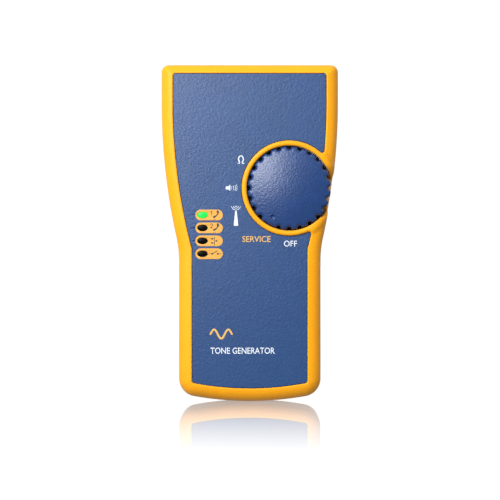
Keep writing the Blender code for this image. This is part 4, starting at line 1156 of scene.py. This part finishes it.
def stroke(route, width, round_ends=True):
    """The outline of a line of some width along a route."""
    left, right = [], []
    for index, (x, z) in enumerate(route):
        before, after = route[max(index - 1, 0)], route[min(index + 1, len(route) - 1)]
        length = math.dist(before, after)
        nx, nz = -(after[1] - before[1]) / length, (after[0] - before[0]) / length
        left.append((x + nx * width / 2, z + nz * width / 2))
        right.append((x - nx * width / 2, z - nz * width / 2))
    if not round_ends:
        return right + left[::-1]
    head = bearing(route[-2], route[-1])
    tail = bearing(route[1], route[0])
    end_cap = arc_points(*route[-1], width / 2, head - 90.0, head + 90.0, 6)[1:-1]
    start_cap = arc_points(*route[0], width / 2, tail - 90.0, tail + 90.0, 6)[1:-1]
    return right + end_cap + left[::-1] + start_cap


def lettering(name, text, centre, size, base, weight, facing):
    """A line of text as thin ink on a face. Its centre and its size (width, height) are in mm."""
    curve = bpy.data.curves.new(name, "FONT")
    curve.body = text
    curve.size = TEXT_SIZE
    curve.offset = weight
    curve.resolution_u = 4
    curve.fill_mode = "BOTH"
    curve.extrude = TEXT_BODY
    holder = bpy.data.objects.new(name + "_text", curve)
    bpy.context.scene.collection.objects.link(holder)
    bpy.context.view_layer.update()
    graph = bpy.context.evaluated_depsgraph_get()
    mesh = bpy.data.meshes.new_from_object(holder.evaluated_get(graph))
    bpy.data.objects.remove(holder)
    bpy.data.curves.remove(curve)
    mesh.name = name
    points = np.array([vertex.co for vertex in mesh.vertices])
    low, high = points.min(axis=0), points.max(axis=0)
    share = (points - (low + high) / 2) / (high - low)
    depth = np.where(share[:, 2] > 0, -INK, INK / 2)
    along = share[:, 0] * (size[0] * MM)
    if facing == REAR:
        along, depth = -along, -depth
    up = share[:, 1] * (size[1] * MM)
    places = np.stack([centre[0] * MM + along, base + depth, centre[1] * MM + up], axis=1)
    mesh.vertices.foreach_set("co", places.astype(np.float32).ravel())
    mesh.update()
    bm = bmesh.new()
    bm.from_mesh(mesh)
    bmesh.ops.remove_doubles(bm, verts=bm.verts, dist=TEXT_WELD)
    bmesh.ops.recalc_face_normals(bm, faces=bm.faces)
    bm.to_mesh(mesh)
    bm.free()
    mesh.materials.clear()
    obj = bpy.data.objects.new(name, mesh)
    bpy.context.scene.collection.objects.link(obj)
    return obj


def pill_loop(place):
    x, z = place.x + PILL_SHIFT, place.z
    reach = PILL_HALF_WIDTH - PILL_HALF_HEIGHT
    ends = ((x + reach, -90.0, 90.0), (x - reach, 90.0, 270.0))
    return Loop([(end_x, z, PILL_HALF_HEIGHT, start, end) for end_x, start, end in ends])


def numeral_one(x, z):
    """A thin 1: a stem with a short flag."""
    stem = stroke([(x + 0.15 * MM, z + 0.9 * MM), (x + 0.15 * MM, z - 0.9 * MM)], 0.3 * MM, False)
    return [stem, stroke([(x - 0.4 * MM, z + 0.5 * MM), (x + 0.12 * MM, z + 0.85 * MM)], 0.24 * MM, False)]


def numeral_two(x, z):
    """A thin 2: a hook over a slanting line and a foot."""
    hook = arc_points(x, z + 0.4 * MM, 0.48 * MM, 165.0, -35.0, 10)
    foot = (x - 0.5 * MM, z - 0.8 * MM)
    line = stroke([foot, (x + 0.55 * MM, foot[1])], 0.26 * MM, False)
    return [stroke(hook + [foot], 0.28 * MM, False), line]


def handset(x, z):
    """A telephone handset: a curved grip with a bulb at each end, over a short base line."""
    grip = arc_points(x - 1.95 * MM, z + 1.3 * MM, 2.25 * MM, -62.0, 2.0, 10)
    ear = stroke([(x + 0.42 * MM, z + 0.95 * MM), (x + 0.18 * MM, z + 1.55 * MM)], 0.92 * MM)
    mouth = stroke([(x - 1.4 * MM, z - 0.85 * MM), (x - 0.8 * MM, z - 0.6 * MM)], 0.82 * MM)
    base = stroke([(x - 1.5 * MM, z - 1.75 * MM), (x - 0.5 * MM, z - 1.75 * MM)], 0.16 * MM)
    return [stroke(grip, 0.5 * MM), ear, mouth, base]


def plug_symbol(x, z):
    """A socket: a bar, two prongs and a dot."""
    bar = stroke([(x, z - 1.8 * MM), (x, z + 1.8 * MM)], 0.3 * MM, round_ends=False)
    prongs = []
    for level in (z - 0.88 * MM, z + 0.88 * MM):
        prongs.append(stroke([(x - 1.45 * MM, level), (x - 0.5 * MM, level)], 0.6 * MM, False))
    return [bar, *prongs, disc(x + 0.85 * MM, z, 0.42 * MM)]


def switch_symbol(x, z):
    """An open switch: two dots on their lines and a lever."""
    near, far = x - 1.15 * MM, x + 1.15 * MM
    lever = stroke([(near, z), (near + 2.0 * MM, z + 1.2 * MM)], 0.3 * MM)
    lines = [
        stroke([(near - 1.3 * MM, z), (near, z)], 0.26 * MM, False),
        stroke([(far, z), (far + 1.5 * MM, z)], 0.26 * MM, False),
    ]
    return [*lines, lever, disc(near, z, 0.42 * MM), disc(far, z, 0.42 * MM)]


def speaker_symbol(x, z):
    """A loudspeaker and four waves."""
    cone = [
        (x - 2.5 * MM, z - 0.6 * MM),
        (x - 1.5 * MM, z - 0.6 * MM),
        (x - 0.55 * MM, z - 1.3 * MM),
        (x - 0.55 * MM, z + 1.3 * MM),
        (x - 1.5 * MM, z + 0.6 * MM),
        (x - 2.5 * MM, z + 0.6 * MM),
    ]
    waves = []
    for index in range(4):
        half_height = (0.65 + 0.25 * index) * MM
        turn = math.degrees(math.asin(half_height / WAVE_RADIUS))
        front = x + (0.1 + 0.71 * index) * MM
        route = arc_points(front - WAVE_RADIUS, z, WAVE_RADIUS, -turn, turn, 8)
        waves.append(stroke(route, 0.17 * MM, False))
    return [cone, *waves]


def probe_symbol(x, z):
    """A tapered probe with the waves that it picks up."""
    body = [
        (x - 0.92 * MM, z - 3.15 * MM),
        (x + 0.92 * MM, z - 3.15 * MM),
        (x + 0.86 * MM, z - 2.3 * MM),
        (x + 0.33 * MM, z + 3.0 * MM),
        (x - 0.33 * MM, z + 3.0 * MM),
        (x - 0.86 * MM, z - 2.3 * MM),
    ]
    waves = []
    for reach, half in ((1.95, 78.0), (1.2, 74.0), (0.5, 70.0)):
        route = arc_points(x, z + 5.4 * MM, reach * MM, -90.0 - half, -90.0 + half, 14)
        waves.append(stroke(route, 0.2 * MM, False))
    return [body, *waves]


def ohm_symbol(x, z):
    """The sign of resistance: a broken ring on two feet."""
    ring = [(x + px * 0.78, z + 0.3 * MM + pz) for px, pz in arc_points(0, 0, 1.33 * MM, -60.0, 240.0, 28)]
    foot = z - 1.45 * MM
    feet = [
        stroke([ring[0], (x + 0.55 * MM, foot), (x + 1.35 * MM, foot)], 0.4 * MM, False),
        stroke([ring[-1], (x - 0.55 * MM, foot), (x - 1.35 * MM, foot)], 0.4 * MM, False),
    ]
    return [stroke(ring, 0.42 * MM, False), *feet]


def wave_symbol(x, z, length=9.0 * MM, height=1.9 * MM):
    """One and a half periods of a sine wave."""
    route = []
    for index in range(49):
        share = index / 48
        route.append((x + length * (share - 0.5), z + height * math.sin(3 * math.pi * share)))
    return [stroke(route, 0.8 * MM)]


# Materials -------------------------------------------------------------------------------------

CASE_BLUE = (9, 54, 102)
BUMPER_YELLOW = (219, 146, 12)
DIAL_BLUE = (13, 49, 99)
WHITE = (1.0, 1.0, 1.0, 1.0)
NOISE_SPAN = (0.3, 0.7)
UNEVEN_GLOSS = 0.06


def linear(value):
    return value / 12.92 if value <= 0.04045 else ((value + 0.055) / 1.055) ** 2.4


def srgb(red, green, blue):
    return (*(linear(channel / 255) for channel in (red, green, blue)), 1.0)


def scaled(colour, factor):
    return (*(min(channel * factor, 1.0) for channel in colour[:3]), 1.0)


def fed(node, **sockets):
    """Sets each named input of a node, or links it where the value is another node's output."""
    for name, value in sockets.items():
        socket = node.inputs[name.replace("_", " ")]
        if isinstance(value, bpy.types.NodeSocket):
            node.id_data.links.new(value, socket)
        else:
            socket.default_value = value
    return node


def ranged(tree, value, low, high, out_low, out_high, soft=False):
    """A value taken from one range to another, held at both ends."""
    node = tree.nodes.new("ShaderNodeMapRange")
    if soft:
        node.interpolation_type = "SMOOTHSTEP"
    fed(node, Value=value, From_Min=low, From_Max=high, To_Min=out_low, To_Max=out_high)
    return node.outputs["Result"]


class Finish:
    """A procedural material in the making: a Principled shader fed by noise in object space."""

    def __init__(self, name, **uniform):
        self.material = bpy.data.materials.new(name)
        self.material.use_nodes = True
        self.tree = self.material.node_tree
        self.shader = fed(self.tree.nodes["Principled BSDF"], **uniform)
        self.place = self.node("TexCoord").outputs["Object"]
        self.normal = None

    def node(self, kind):
        return self.tree.nodes.new("ShaderNode" + kind)

    def noise(self, size, detail=2.0, roughness=0.5, stretch=None):
        """Noise with features of about a size, from 0 to 1."""
        place = self.place
        if stretch:
            place = fed(self.node("Mapping"), Scale=stretch, Vector=place).outputs["Vector"]
        node = fed(self.node("TexNoise"), Vector=place, Scale=1.0 / size)
        return fed(node, Detail=detail, Roughness=roughness).outputs["Fac"]

    def cloud(self, size, detail=3.0):
        """Noise stretched over the whole of 0 to 1."""
        return self.remap(self.noise(size, detail), *NOISE_SPAN, 0.0, 1.0)

    def cells(self, size, feature="F1"):
        node = self.node("TexVoronoi")
        node.feature = feature
        return fed(node, Vector=self.place, Scale=1.0 / size).outputs["Distance"]

    def remap(self, value, low, high, out_low, out_high):
        return ranged(self.tree, value, low, high, out_low, out_high)

    def height(self):
        return fed(self.node("SeparateXYZ"), Vector=self.place).outputs["Z"]

    def mix(self, share, first, second):
        """A colour between two, by a share from 0 to 1. Each is a colour or another node's output."""
        node = self.node("Mix")
        node.data_type = "RGBA"
        self.tree.links.new(share, node.inputs[0])
        for socket, value in ((6, first), (7, second)):
            if isinstance(value, bpy.types.NodeSocket):
                self.tree.links.new(value, node.inputs[socket])
            else:
                node.inputs[socket].default_value = value
        return node.outputs[2]

    def shades(self, share, colour, low, high):
        """One colour between two strengths of itself."""
        return self.mix(share, scaled(colour, low), scaled(colour, high))

    def surface(self, colour, roughness):
        fed(self.shader, Base_Color=colour, Roughness=roughness)

    def bump(self, height, depth, strength=1.0):
        node = fed(self.node("Bump"), Height=height, Distance=depth, Strength=strength)
        if self.normal:
            fed(node, Normal=self.normal)
        self.normal = node.outputs["Normal"]
        fed(self.shader, Normal=self.normal)


def grained(name, colour, roughness, grain, depth, mottle=0.05, **uniform):
    """Moulded plastic or painted metal: fine grain, faint mottling and uneven gloss."""
    made = Finish(name, **uniform)
    fleck = made.noise(grain)
    gloss = made.remap(fleck, *NOISE_SPAN, roughness - UNEVEN_GLOSS, roughness + UNEVEN_GLOSS)
    made.surface(made.shades(made.cloud(9.0 * MM), colour, 1.0 - mottle, 1.0 + mottle), gloss)
    made.bump(fleck, depth)
    return made


def case_plastic():
    """Blue moulded plastic with a spark-eroded grain."""
    made = grained("case_plastic", srgb(*CASE_BLUE), 0.39, 0.32 * MM, 0.010 * MM, Specular_IOR_Level=0.6)
    made.bump(made.noise(1.1 * MM), 0.07 * MM)
    return made.material


def bumper_rubber():
    """Soft yellow rubber: satin, with a fine matt grain and faint handling marks."""
    made = Finish("bumper_rubber", Specular_IOR_Level=0.2, Sheen_Weight=0.25, Sheen_Roughness=0.35)
    tint = made.shades(made.cloud(14.0 * MM), srgb(*BUMPER_YELLOW), 0.96, 1.03)
    marks = made.remap(made.noise(3.0 * MM, 5.0, 0.7, stretch=(1.0, 1.0, 0.25)), 0.62, 0.75, 0.0, 0.12)
    gloss = made.remap(made.noise(2.2 * MM, 4.0), *NOISE_SPAN, 0.34, 0.44)
    made.surface(made.mix(marks, tint, srgb(190, 120, 16)), gloss)
    made.bump(made.noise(0.22 * MM), 0.006 * MM)
    return made.material


def dial_plastic():
    """Blue plastic with a leather grain."""
    made = Finish("dial_plastic", Specular_IOR_Level=0.6)
    cells = made.cells(0.8 * MM, "SMOOTH_F1")
    tint = made.shades(made.cloud(5.0 * MM), srgb(*DIAL_BLUE), 0.93, 1.07)
    made.surface(tint, made.remap(cells, 0.0, 0.8, 0.30, 0.42))
    made.bump(cells, 0.08 * MM)
    made.bump(made.noise(0.7 * MM, 3.0), 0.022 * MM)
    return made.material


def printed(name, colour):
    """Screen-printed ink: slightly uneven cover and a soft grain."""
    return grained(name, colour, 0.42, 0.25 * MM, 0.006 * MM, 0.03).material


def lens_plastic(name, colour, gloss, glow=0.0):
    """A tinted light pipe with a faint swirl inside."""
    made = Finish(name, Specular_IOR_Level=gloss)
    swirl = made.cloud(0.8 * MM, 2.0)
    tint = made.shades(swirl, colour, 0.82, 1.15)
    made.surface(tint, made.remap(swirl, 0.0, 1.0, 0.3, 0.4))
    if glow:
        fed(made.shader, Emission_Color=tint, Emission_Strength=glow)
    return made.material


def brushed(name, colour, roughness, stretch):
    """Plated metal with fine turning lines."""
    made = Finish(name, Metallic=1.0)
    lines = made.noise(0.5 * MM, 4.0, 0.7, stretch)
    gloss = made.remap(lines, *NOISE_SPAN, roughness - 0.08, roughness + 0.12)
    made.surface(made.shades(made.cloud(3.0 * MM, 2.0), colour, 0.88, 1.0), gloss)
    made.bump(lines, 0.01 * MM, 0.6)
    return made.material


def foam():
    """Open-cell foam: pale walls, and pits whose colour is darkened as painted shade."""
    made = Finish("foam_grey", Sheen_Weight=0.3, Sheen_Roughness=0.6)
    cells = made.cells(0.55 * MM)
    # Painted shade: the colour darkens towards the middle of each cell, where the bump sinks it into a pit.
    tint = made.shades(made.remap(cells, 0.0, 0.6, 0.0, 1.0), srgb(92, 92, 96), 0.55, 1.2)
    made.surface(tint, made.remap(cells, 0.0, 0.7, 0.85, 1.0))
    made.bump(cells, 0.15 * MM, 0.8)
    return made.material


def laminate():
    """Green circuit-board laminate with tracks under the mask."""
    made = Finish("board_mask")
    weave = made.noise(0.8 * MM, stretch=(1.0, 1.0, 4.0))
    tracks = made.remap(made.cells(2.6 * MM, "DISTANCE_TO_EDGE"), 0.10, 0.13, 0.0, 1.0)
    gloss = made.remap(weave, *NOISE_SPAN, 0.28, 0.45)
    made.surface(made.mix(tracks, srgb(58, 128, 70), srgb(22, 82, 48)), gloss)
    made.bump(tracks, 0.03 * MM, 0.5)
    return made.material


def battery_wrap():
    """Black wrap with a copper-coloured shoulder."""
    made = Finish("battery_wrap")
    band = made.remap(made.height(), BATTERY_HIGH.z - 13.1 * MM, BATTERY_HIGH.z - 12.9 * MM, 0.0, 1.0)
    scuff = made.cloud(6.0 * MM, 4.0)
    black = made.mix(scuff, srgb(26, 27, 30), srgb(38, 39, 43))
    copper = made.mix(scuff, srgb(178, 106, 54), srgb(201, 126, 70))
    made.surface(made.mix(band, black, copper), made.remap(scuff, 0.0, 1.0, 0.3, 0.42))
    fed(made.shader, Metallic=made.remap(band, 0.0, 1.0, 0.0, 0.75))
    made.bump(made.noise(1.5 * MM, 3.0), 0.02 * MM, 0.4)
    return made.material


# Stage -----------------------------------------------------------------------------------------

# Lengths here are in metres. The camera looks along +Y, level with the middle of the view.
CAMERA_DISTANCE = 0.75
VIEW_WIDTH = 0.2099
VIEW_CENTRE = (0.0001, 0.0639)
SENSOR_WIDTH = 36.0

# The key light, above the camera's left shoulder.
KEY_PLACE = (-0.25, -0.46, 0.31)
KEY_TARGET = (0.0, 0.0, 0.08)
KEY_SIZE = 0.42
KEY_POWER = 6.4

# Strength of the dome at the horizon and overhead, of the walls, and of what the camera sees.
DOME_LOW = 0.12
DOME_HIGH = 1.0
BACKDROP = 1.02
SEEN_WHITE = 1.05

# The floor: its glow as the camera sees it, near and far, and as shiny and matt surfaces see it.
FLOOR_SIZE = 6.0
FLOOR_DROP = 0.4 * MM
FLOOR_WHITE = 0.1
FLOOR_GLOW = 0.94
FLOOR_GLOW_FAR = 1.1
FLOOR_REFLECTED = 0.22
FLOOR_BOUNCE = 0.5

# The polished part of the floor: how strongly it mirrors, and where that fades in front and behind.
MIRROR = 0.7
MIRROR_NEAR = -0.012
MIRROR_FAR = -0.23
MIRROR_BEHIND = (0.02, 0.08)


def camera():
    data = bpy.data.cameras.new("camera")
    data.sensor_width = SENSOR_WIDTH
    data.lens = SENSOR_WIDTH * CAMERA_DISTANCE / VIEW_WIDTH
    data.dof.use_dof = False
    obj = bpy.data.objects.new("camera", data)
    obj.location = (VIEW_CENTRE[0], -CAMERA_DISTANCE + FRONT_CREST, VIEW_CENTRE[1])
    obj.rotation_euler = (math.pi / 2, 0.0, 0.0)
    bpy.context.scene.collection.objects.link(obj)
    bpy.context.scene.camera = obj


def key_light():
    """A soft square light that the camera doesn't see."""
    data = bpy.data.lights.new("key", "AREA")
    data.size = KEY_SIZE
    data.energy = KEY_POWER
    obj = bpy.data.objects.new("key", data)
    obj.location = KEY_PLACE
    obj.rotation_euler = (Vector(KEY_TARGET) - Vector(KEY_PLACE)).to_track_quat("-Z", "Y").to_euler()
    obj.visible_camera = False
    bpy.context.scene.collection.objects.link(obj)


def combined(tree, operation, first, second):
    node = tree.nodes.new("ShaderNodeMath")
    node.operation = operation
    tree.links.new(first, node.inputs[0])
    tree.links.new(second, node.inputs[1])
    return node.outputs["Value"]


def blended(tree, share, first, second):
    """Two shaders mixed by a share from 0 to 1."""
    node = fed(tree.nodes.new("ShaderNodeMixShader"), Fac=share)
    tree.links.new(first, node.inputs[1])
    tree.links.new(second, node.inputs[2])
    return node.outputs["Shader"]


def world():
    """A studio: a dome that is brightest overhead, a white backdrop and low white walls at the sides."""
    made = bpy.data.worlds.new("studio")
    made.use_nodes = True
    tree = made.node_tree
    place = tree.nodes.new("ShaderNodeTexCoord").outputs["Generated"]
    parts = fed(tree.nodes.new("ShaderNodeSeparateXYZ"), Vector=place).outputs
    dome = ranged(tree, parts["Z"], 0.0, 1.0, DOME_LOW, DOME_HIGH)
    backdrop = ranged(tree, parts["Y"], 0.1, 0.8, 0.0, BACKDROP, soft=True)
    sides = ranged(tree, parts["Y"], -0.85, -0.5, 0.0, BACKDROP, soft=True)
    low = ranged(tree, parts["Z"], 0.1, 0.3, 1.0, 0.0, soft=True)
    walls = combined(tree, "MAXIMUM", backdrop, combined(tree, "MULTIPLY", sides, low))
    lit = fed(tree.nodes["Background"], Color=WHITE, Strength=combined(tree, "MAXIMUM", dome, walls))
    plain = fed(tree.nodes.new("ShaderNodeBackground"), Color=WHITE, Strength=SEEN_WHITE)
    seen = tree.nodes.new("ShaderNodeLightPath").outputs["Is Camera Ray"]
    surface = blended(tree, seen, lit.outputs["Background"], plain.outputs["Background"])
    fed(tree.nodes["World Output"], Surface=surface)
    bpy.context.scene.world = made


def floor():
    """A pale floor, polished just in front of the object."""
    mesh = bpy.data.meshes.new("floor")
    signs = ((-1.0, -1.0), (1.0, -1.0), (1.0, 1.0), (-1.0, 1.0))
    corners = [(x * FLOOR_SIZE, y * FLOOR_SIZE, -FLOOR_DROP) for x, y in signs]
    mesh.from_pydata(corners, [], [(0, 1, 2, 3)])
    obj = bpy.data.objects.new("floor", mesh)
    bpy.context.scene.collection.objects.link(obj)
    material = bpy.data.materials.new("floor_white")
    material.use_nodes = True
    tree = material.node_tree
    place = tree.nodes.new("ShaderNodeTexCoord").outputs["Object"]
    depth = fed(tree.nodes.new("ShaderNodeSeparateXYZ"), Vector=place).outputs["Y"]
    reach = tree.nodes.new("ShaderNodeVectorMath")
    reach.operation = "LENGTH"
    tree.links.new(place, reach.inputs[0])
    shader = fed(
        tree.nodes["Principled BSDF"],
        Base_Color=(FLOOR_WHITE, FLOOR_WHITE, FLOOR_WHITE, 1.0),
        Roughness=0.6,
        Specular_IOR_Level=0.0,
        Emission_Color=WHITE,
        Emission_Strength=ranged(tree, reach.outputs["Value"], 0.25, 0.9, FLOOR_GLOW, FLOOR_GLOW_FAR),
    )
    gloss = fed(tree.nodes.new("ShaderNodeBsdfGlossy"), Color=WHITE, Roughness=0.03)
    ahead = ranged(tree, depth, MIRROR_NEAR, MIRROR_FAR, MIRROR, 0.0)
    behind = ranged(tree, depth, *MIRROR_BEHIND, 1.0, 0.0)
    fade = combined(tree, "MULTIPLY", ahead, behind)
    polished = blended(tree, fade, shader.outputs["BSDF"], gloss.outputs["BSDF"])
    path = tree.nodes.new("ShaderNodeLightPath").outputs
    bounce = ranged(tree, path["Is Diffuse Ray"], 0.0, 1.0, FLOOR_REFLECTED, FLOOR_BOUNCE)
    pale = fed(tree.nodes.new("ShaderNodeEmission"), Strength=bounce)
    surface = blended(tree, path["Is Camera Ray"], pale.outputs["Emission"], polished)
    fed(tree.nodes["Material Output"], Surface=surface)
    mesh.materials.append(material)


# Assembly --------------------------------------------------------------------------------------


def put(obj, material, body="case", nodes=()):
    """Finishes a piece: its material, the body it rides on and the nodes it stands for."""
    obj.data.materials.append(material)
    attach(obj, body)
    if nodes:
        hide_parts(*nodes)


def build_case():
    plastic, rubber = case_plastic(), bumper_rubber()
    for side, outward in (("front", FRONT), ("rear", REAR)):
        piece = bumper(f"{side}_bumper_rubber", outward)
        put(piece, rubber, nodes=[f"{side}_bumper"])
    put(front_face(), plastic, nodes=["front_shell"])
    front = tray("front_shell_tray", FrontTray(), FRONT_LEDGE, PARTING + LIP_HEIGHT)
    put(front, plastic, nodes=["front_shell"])
    put(rear_face(), plastic, nodes=["rear_shell"])
    rear = tray("rear_shell_tray", RearTray(), BOX_FRONT - BOX_WALL, REAR_LEDGE)
    put(rear, plastic, nodes=["rear_shell"])
    door = net_round("battery_door_moulding", Door(), *DOOR_GRID, 0.3 * MM)
    put(door, plastic, "door", ["battery_door"])


def build_dial():
    knob = net_round("dial_knob", Dial(), DIAL_LOW, DIAL_HIGH, 0.25 * MM)
    put(knob, dial_plastic(), "selector", ["dial"])


def build_lenses():
    green = lens_plastic("lens_green", srgb(22, 196, 66), 0.25, 0.42)
    dark = lens_plastic("lens_dark", srgb(6, 6, 5), 0.06)
    front, back = LENS_LOW.y, LENS_HIGH.y
    dome = [(radius, front + depth * MM) for radius, depth in LENS_DOME]
    stretch = (LENS_HALF_WIDTH, LENS_HALF_HEIGHT)
    for index, place in enumerate(LENSES):
        name = f"led_lens_{index + 1}"
        lens = turned(name + "_dome", place.xz, dome + [(1.0, back), (0.0, back)], 40, stretch)
        material, slot = (dark, "lens_dark") if index else (green, "lens_green")
        put(lens, material, nodes=[name])


def word(name, text, centre, size, material):
    """A word printed on the front face."""
    put(lettering(name, text, centre, size, FRONT_FACE, WORD_WEIGHT, FRONT), material)


def build_prints():
    white = printed("ink_white", srgb(200, 206, 214))
    amber = printed("ink_amber", srgb(198, 141, 50))
    service = printed("ink_yellow", srgb(198, 154, 80))
    dark = printed("ink_dark", srgb(46, 44, 38))
    over = FRONT_FACE - INK
    for index, place in enumerate(LENSES):
        name, back = f"print_pill_{index + 1}", FRONT_FACE + INK / 2
        put(plate(name, pill_loop(place), [lens_hole(place)], over, back), amber)
    top, second, third, fourth = LENSES
    on_pills = {
        "print_line_1": numeral_one(top.x + 3.7 * MM, top.z + 0.85 * MM),
        "print_line_2": numeral_two(second.x + 3.75 * MM, second.z + 0.85 * MM),
        "print_handset_1": handset(top.x + 6.1 * MM, top.z),
        "print_handset_2": handset(second.x + 6.1 * MM, second.z),
        "print_plug": plug_symbol(third.x + 4.95 * MM, third.z),
        "print_switch": switch_symbol(fourth.x + 5.25 * MM, fourth.z),
    }
    for name, shape in on_pills.items():
        put(ink(name, shape, over, INK / 2), dark)
    put(ink("print_speaker", speaker_symbol(-7.6 * MM, DIAL.z + 0.1 * MM)), white)
    put(ink("print_probe", probe_symbol(-5.8 * MM, 77.25 * MM)), white)
    put(ink("print_ohm", ohm_symbol(-3.7 * MM, 101.8 * MM)), white)
    word("print_service", "SERVICE", (2.8, 68.5), (11.9, 2.5), service)
    word("print_off", "OFF", (17.1, 66.6), (5.5, 2.45), white)
    put(ink("print_wave", wave_symbol(-12.0 * MM, 28.6 * MM)), service)
    word("print_tone", "TONE GENERATOR", (-3.0, 21.6), (27.0, 2.6), white)


def build_ports(plastic, brass):
    low = (PORT_LOW.x, COAX_SKIRT_Y, PORT_LOW.z)
    panel = net_round("port_panel_moulding", PortPanel(), low, PORT_HIGH, 0.3 * MM)
    put(panel, plastic, nodes=["port_panel"])
    put(coax_barrel(), brass, nodes=["coax_jack"])
    nut = HexNut("coax_nut", COAX_THREAD + 0.1 * MM)
    piece = net_round("coax_nut_hex", nut, nut.low, nut.high, 0.2 * MM)
    put(piece, brass, nodes=["coax_nut"])


def build_battery(label):
    battery = net_round("battery_can", Battery(), BATTERY_LOW, BATTERY_HIGH, 0.45 * MM)
    put(battery, battery_wrap(), nodes=["battery"])
    labels = (
        ("battery_label_volts", "9V", (0.0, 32.0), (13.0, 8.0), 0.0003),
        ("battery_label_plus", "+", (-6.4, 53.5), (3.0, 3.0), 0.0002),
        ("battery_label_minus", "-", (6.4, 53.5), (3.0, 0.7), 0.0),
    )
    for name, text, centre, size, weight in labels:
        put(lettering(name, text, centre, size, BATTERY_HIGH.y, weight, REAR), label)
    pad = FoamPad()
    piece = net_round("door_foam_cushion", pad, pad.low, pad.high, 0.25 * MM)
    put(piece, foam(), "door", ["door_foam_pad"])


def build_screws(steel):
    screws = [(f"case_screw_{index}", 2.7, 2.2, "case") for index in range(1, 5)]
    screws += [(f"board_screw_{index}", 2.2, 1.2, "case") for index in range(1, 4)]
    screws.append(("dial_screw", 2.6, 1.3, "selector"))
    for node, head_radius, head, body in screws:
        field = Screw(node, head_radius * MM, head * MM)
        piece = net_round(node + "_steel", field, field.low, field.high, 0.2 * MM)
        put(piece, steel, body, [node])


def finish_nodes(finishes):
    """Gives each CAD node that stays in view its finish."""
    for material, names in finishes:
        for name in names:
            for holder in frame["nodes"][name].material_slots:
                holder.material = material


camera()
world()
floor()
key_light()
bpy.context.scene.view_settings.view_transform = "Standard"

black = grained("moulded_black", srgb(26, 27, 29), 0.42, 0.3 * MM, 0.01 * MM, 0.1).material
natural = grained("natural_plastic", srgb(228, 227, 218), 0.45, 0.4 * MM, 0.006 * MM, 0.03).material
core = grained("transformer_tape", srgb(120, 92, 40), 0.5, 0.8 * MM, 0.02 * MM, 0.1).material
red = grained("wire_red_sleeve", srgb(186, 30, 26), 0.4, 0.5 * MM, 0.004 * MM).material
sleeve = grained("capacitor_sleeve", srgb(30, 34, 56), 0.35, 0.6 * MM, 0.004 * MM, 0.08).material
steel = brushed("zinc_plate", srgb(196, 198, 202), 0.3, (1.0, 1.0, 1.0))
brass = brushed("nickel_plate", srgb(206, 200, 186), 0.22, (1.0, 1.0, 6.0))
gold = brushed("gold_plate", srgb(232, 184, 92), 0.22, (1.0, 1.0, 4.0))
label_ink = printed("ink_label", srgb(232, 232, 230))

build_case()
build_dial()
build_lenses()
build_prints()
build_ports(black, brass)
build_battery(label_ink)
build_screws(steel)
finish_nodes(
    [
        (black, ["rj45_jack", "rj11_jack", "battery_snap", "wire_black", "microcontroller", "relay"]),
        (gold, ["rj45_contacts", "rj11_contacts", "switch_wiper"]),
        (natural, ["coax_insulator", "switch_rotor", "led_1", "led_2", "led_3", "led_4"]),
        (steel, ["battery_terminal_positive", "battery_terminal_negative", "crystal"]),
        (brass, ["detent_spring"]),
        (laminate(), ["main_board"]),
        (core, ["transformer"]),
        (sleeve, ["capacitor_1", "capacitor_2"]),
        (red, ["wire_red"]),
    ]
)
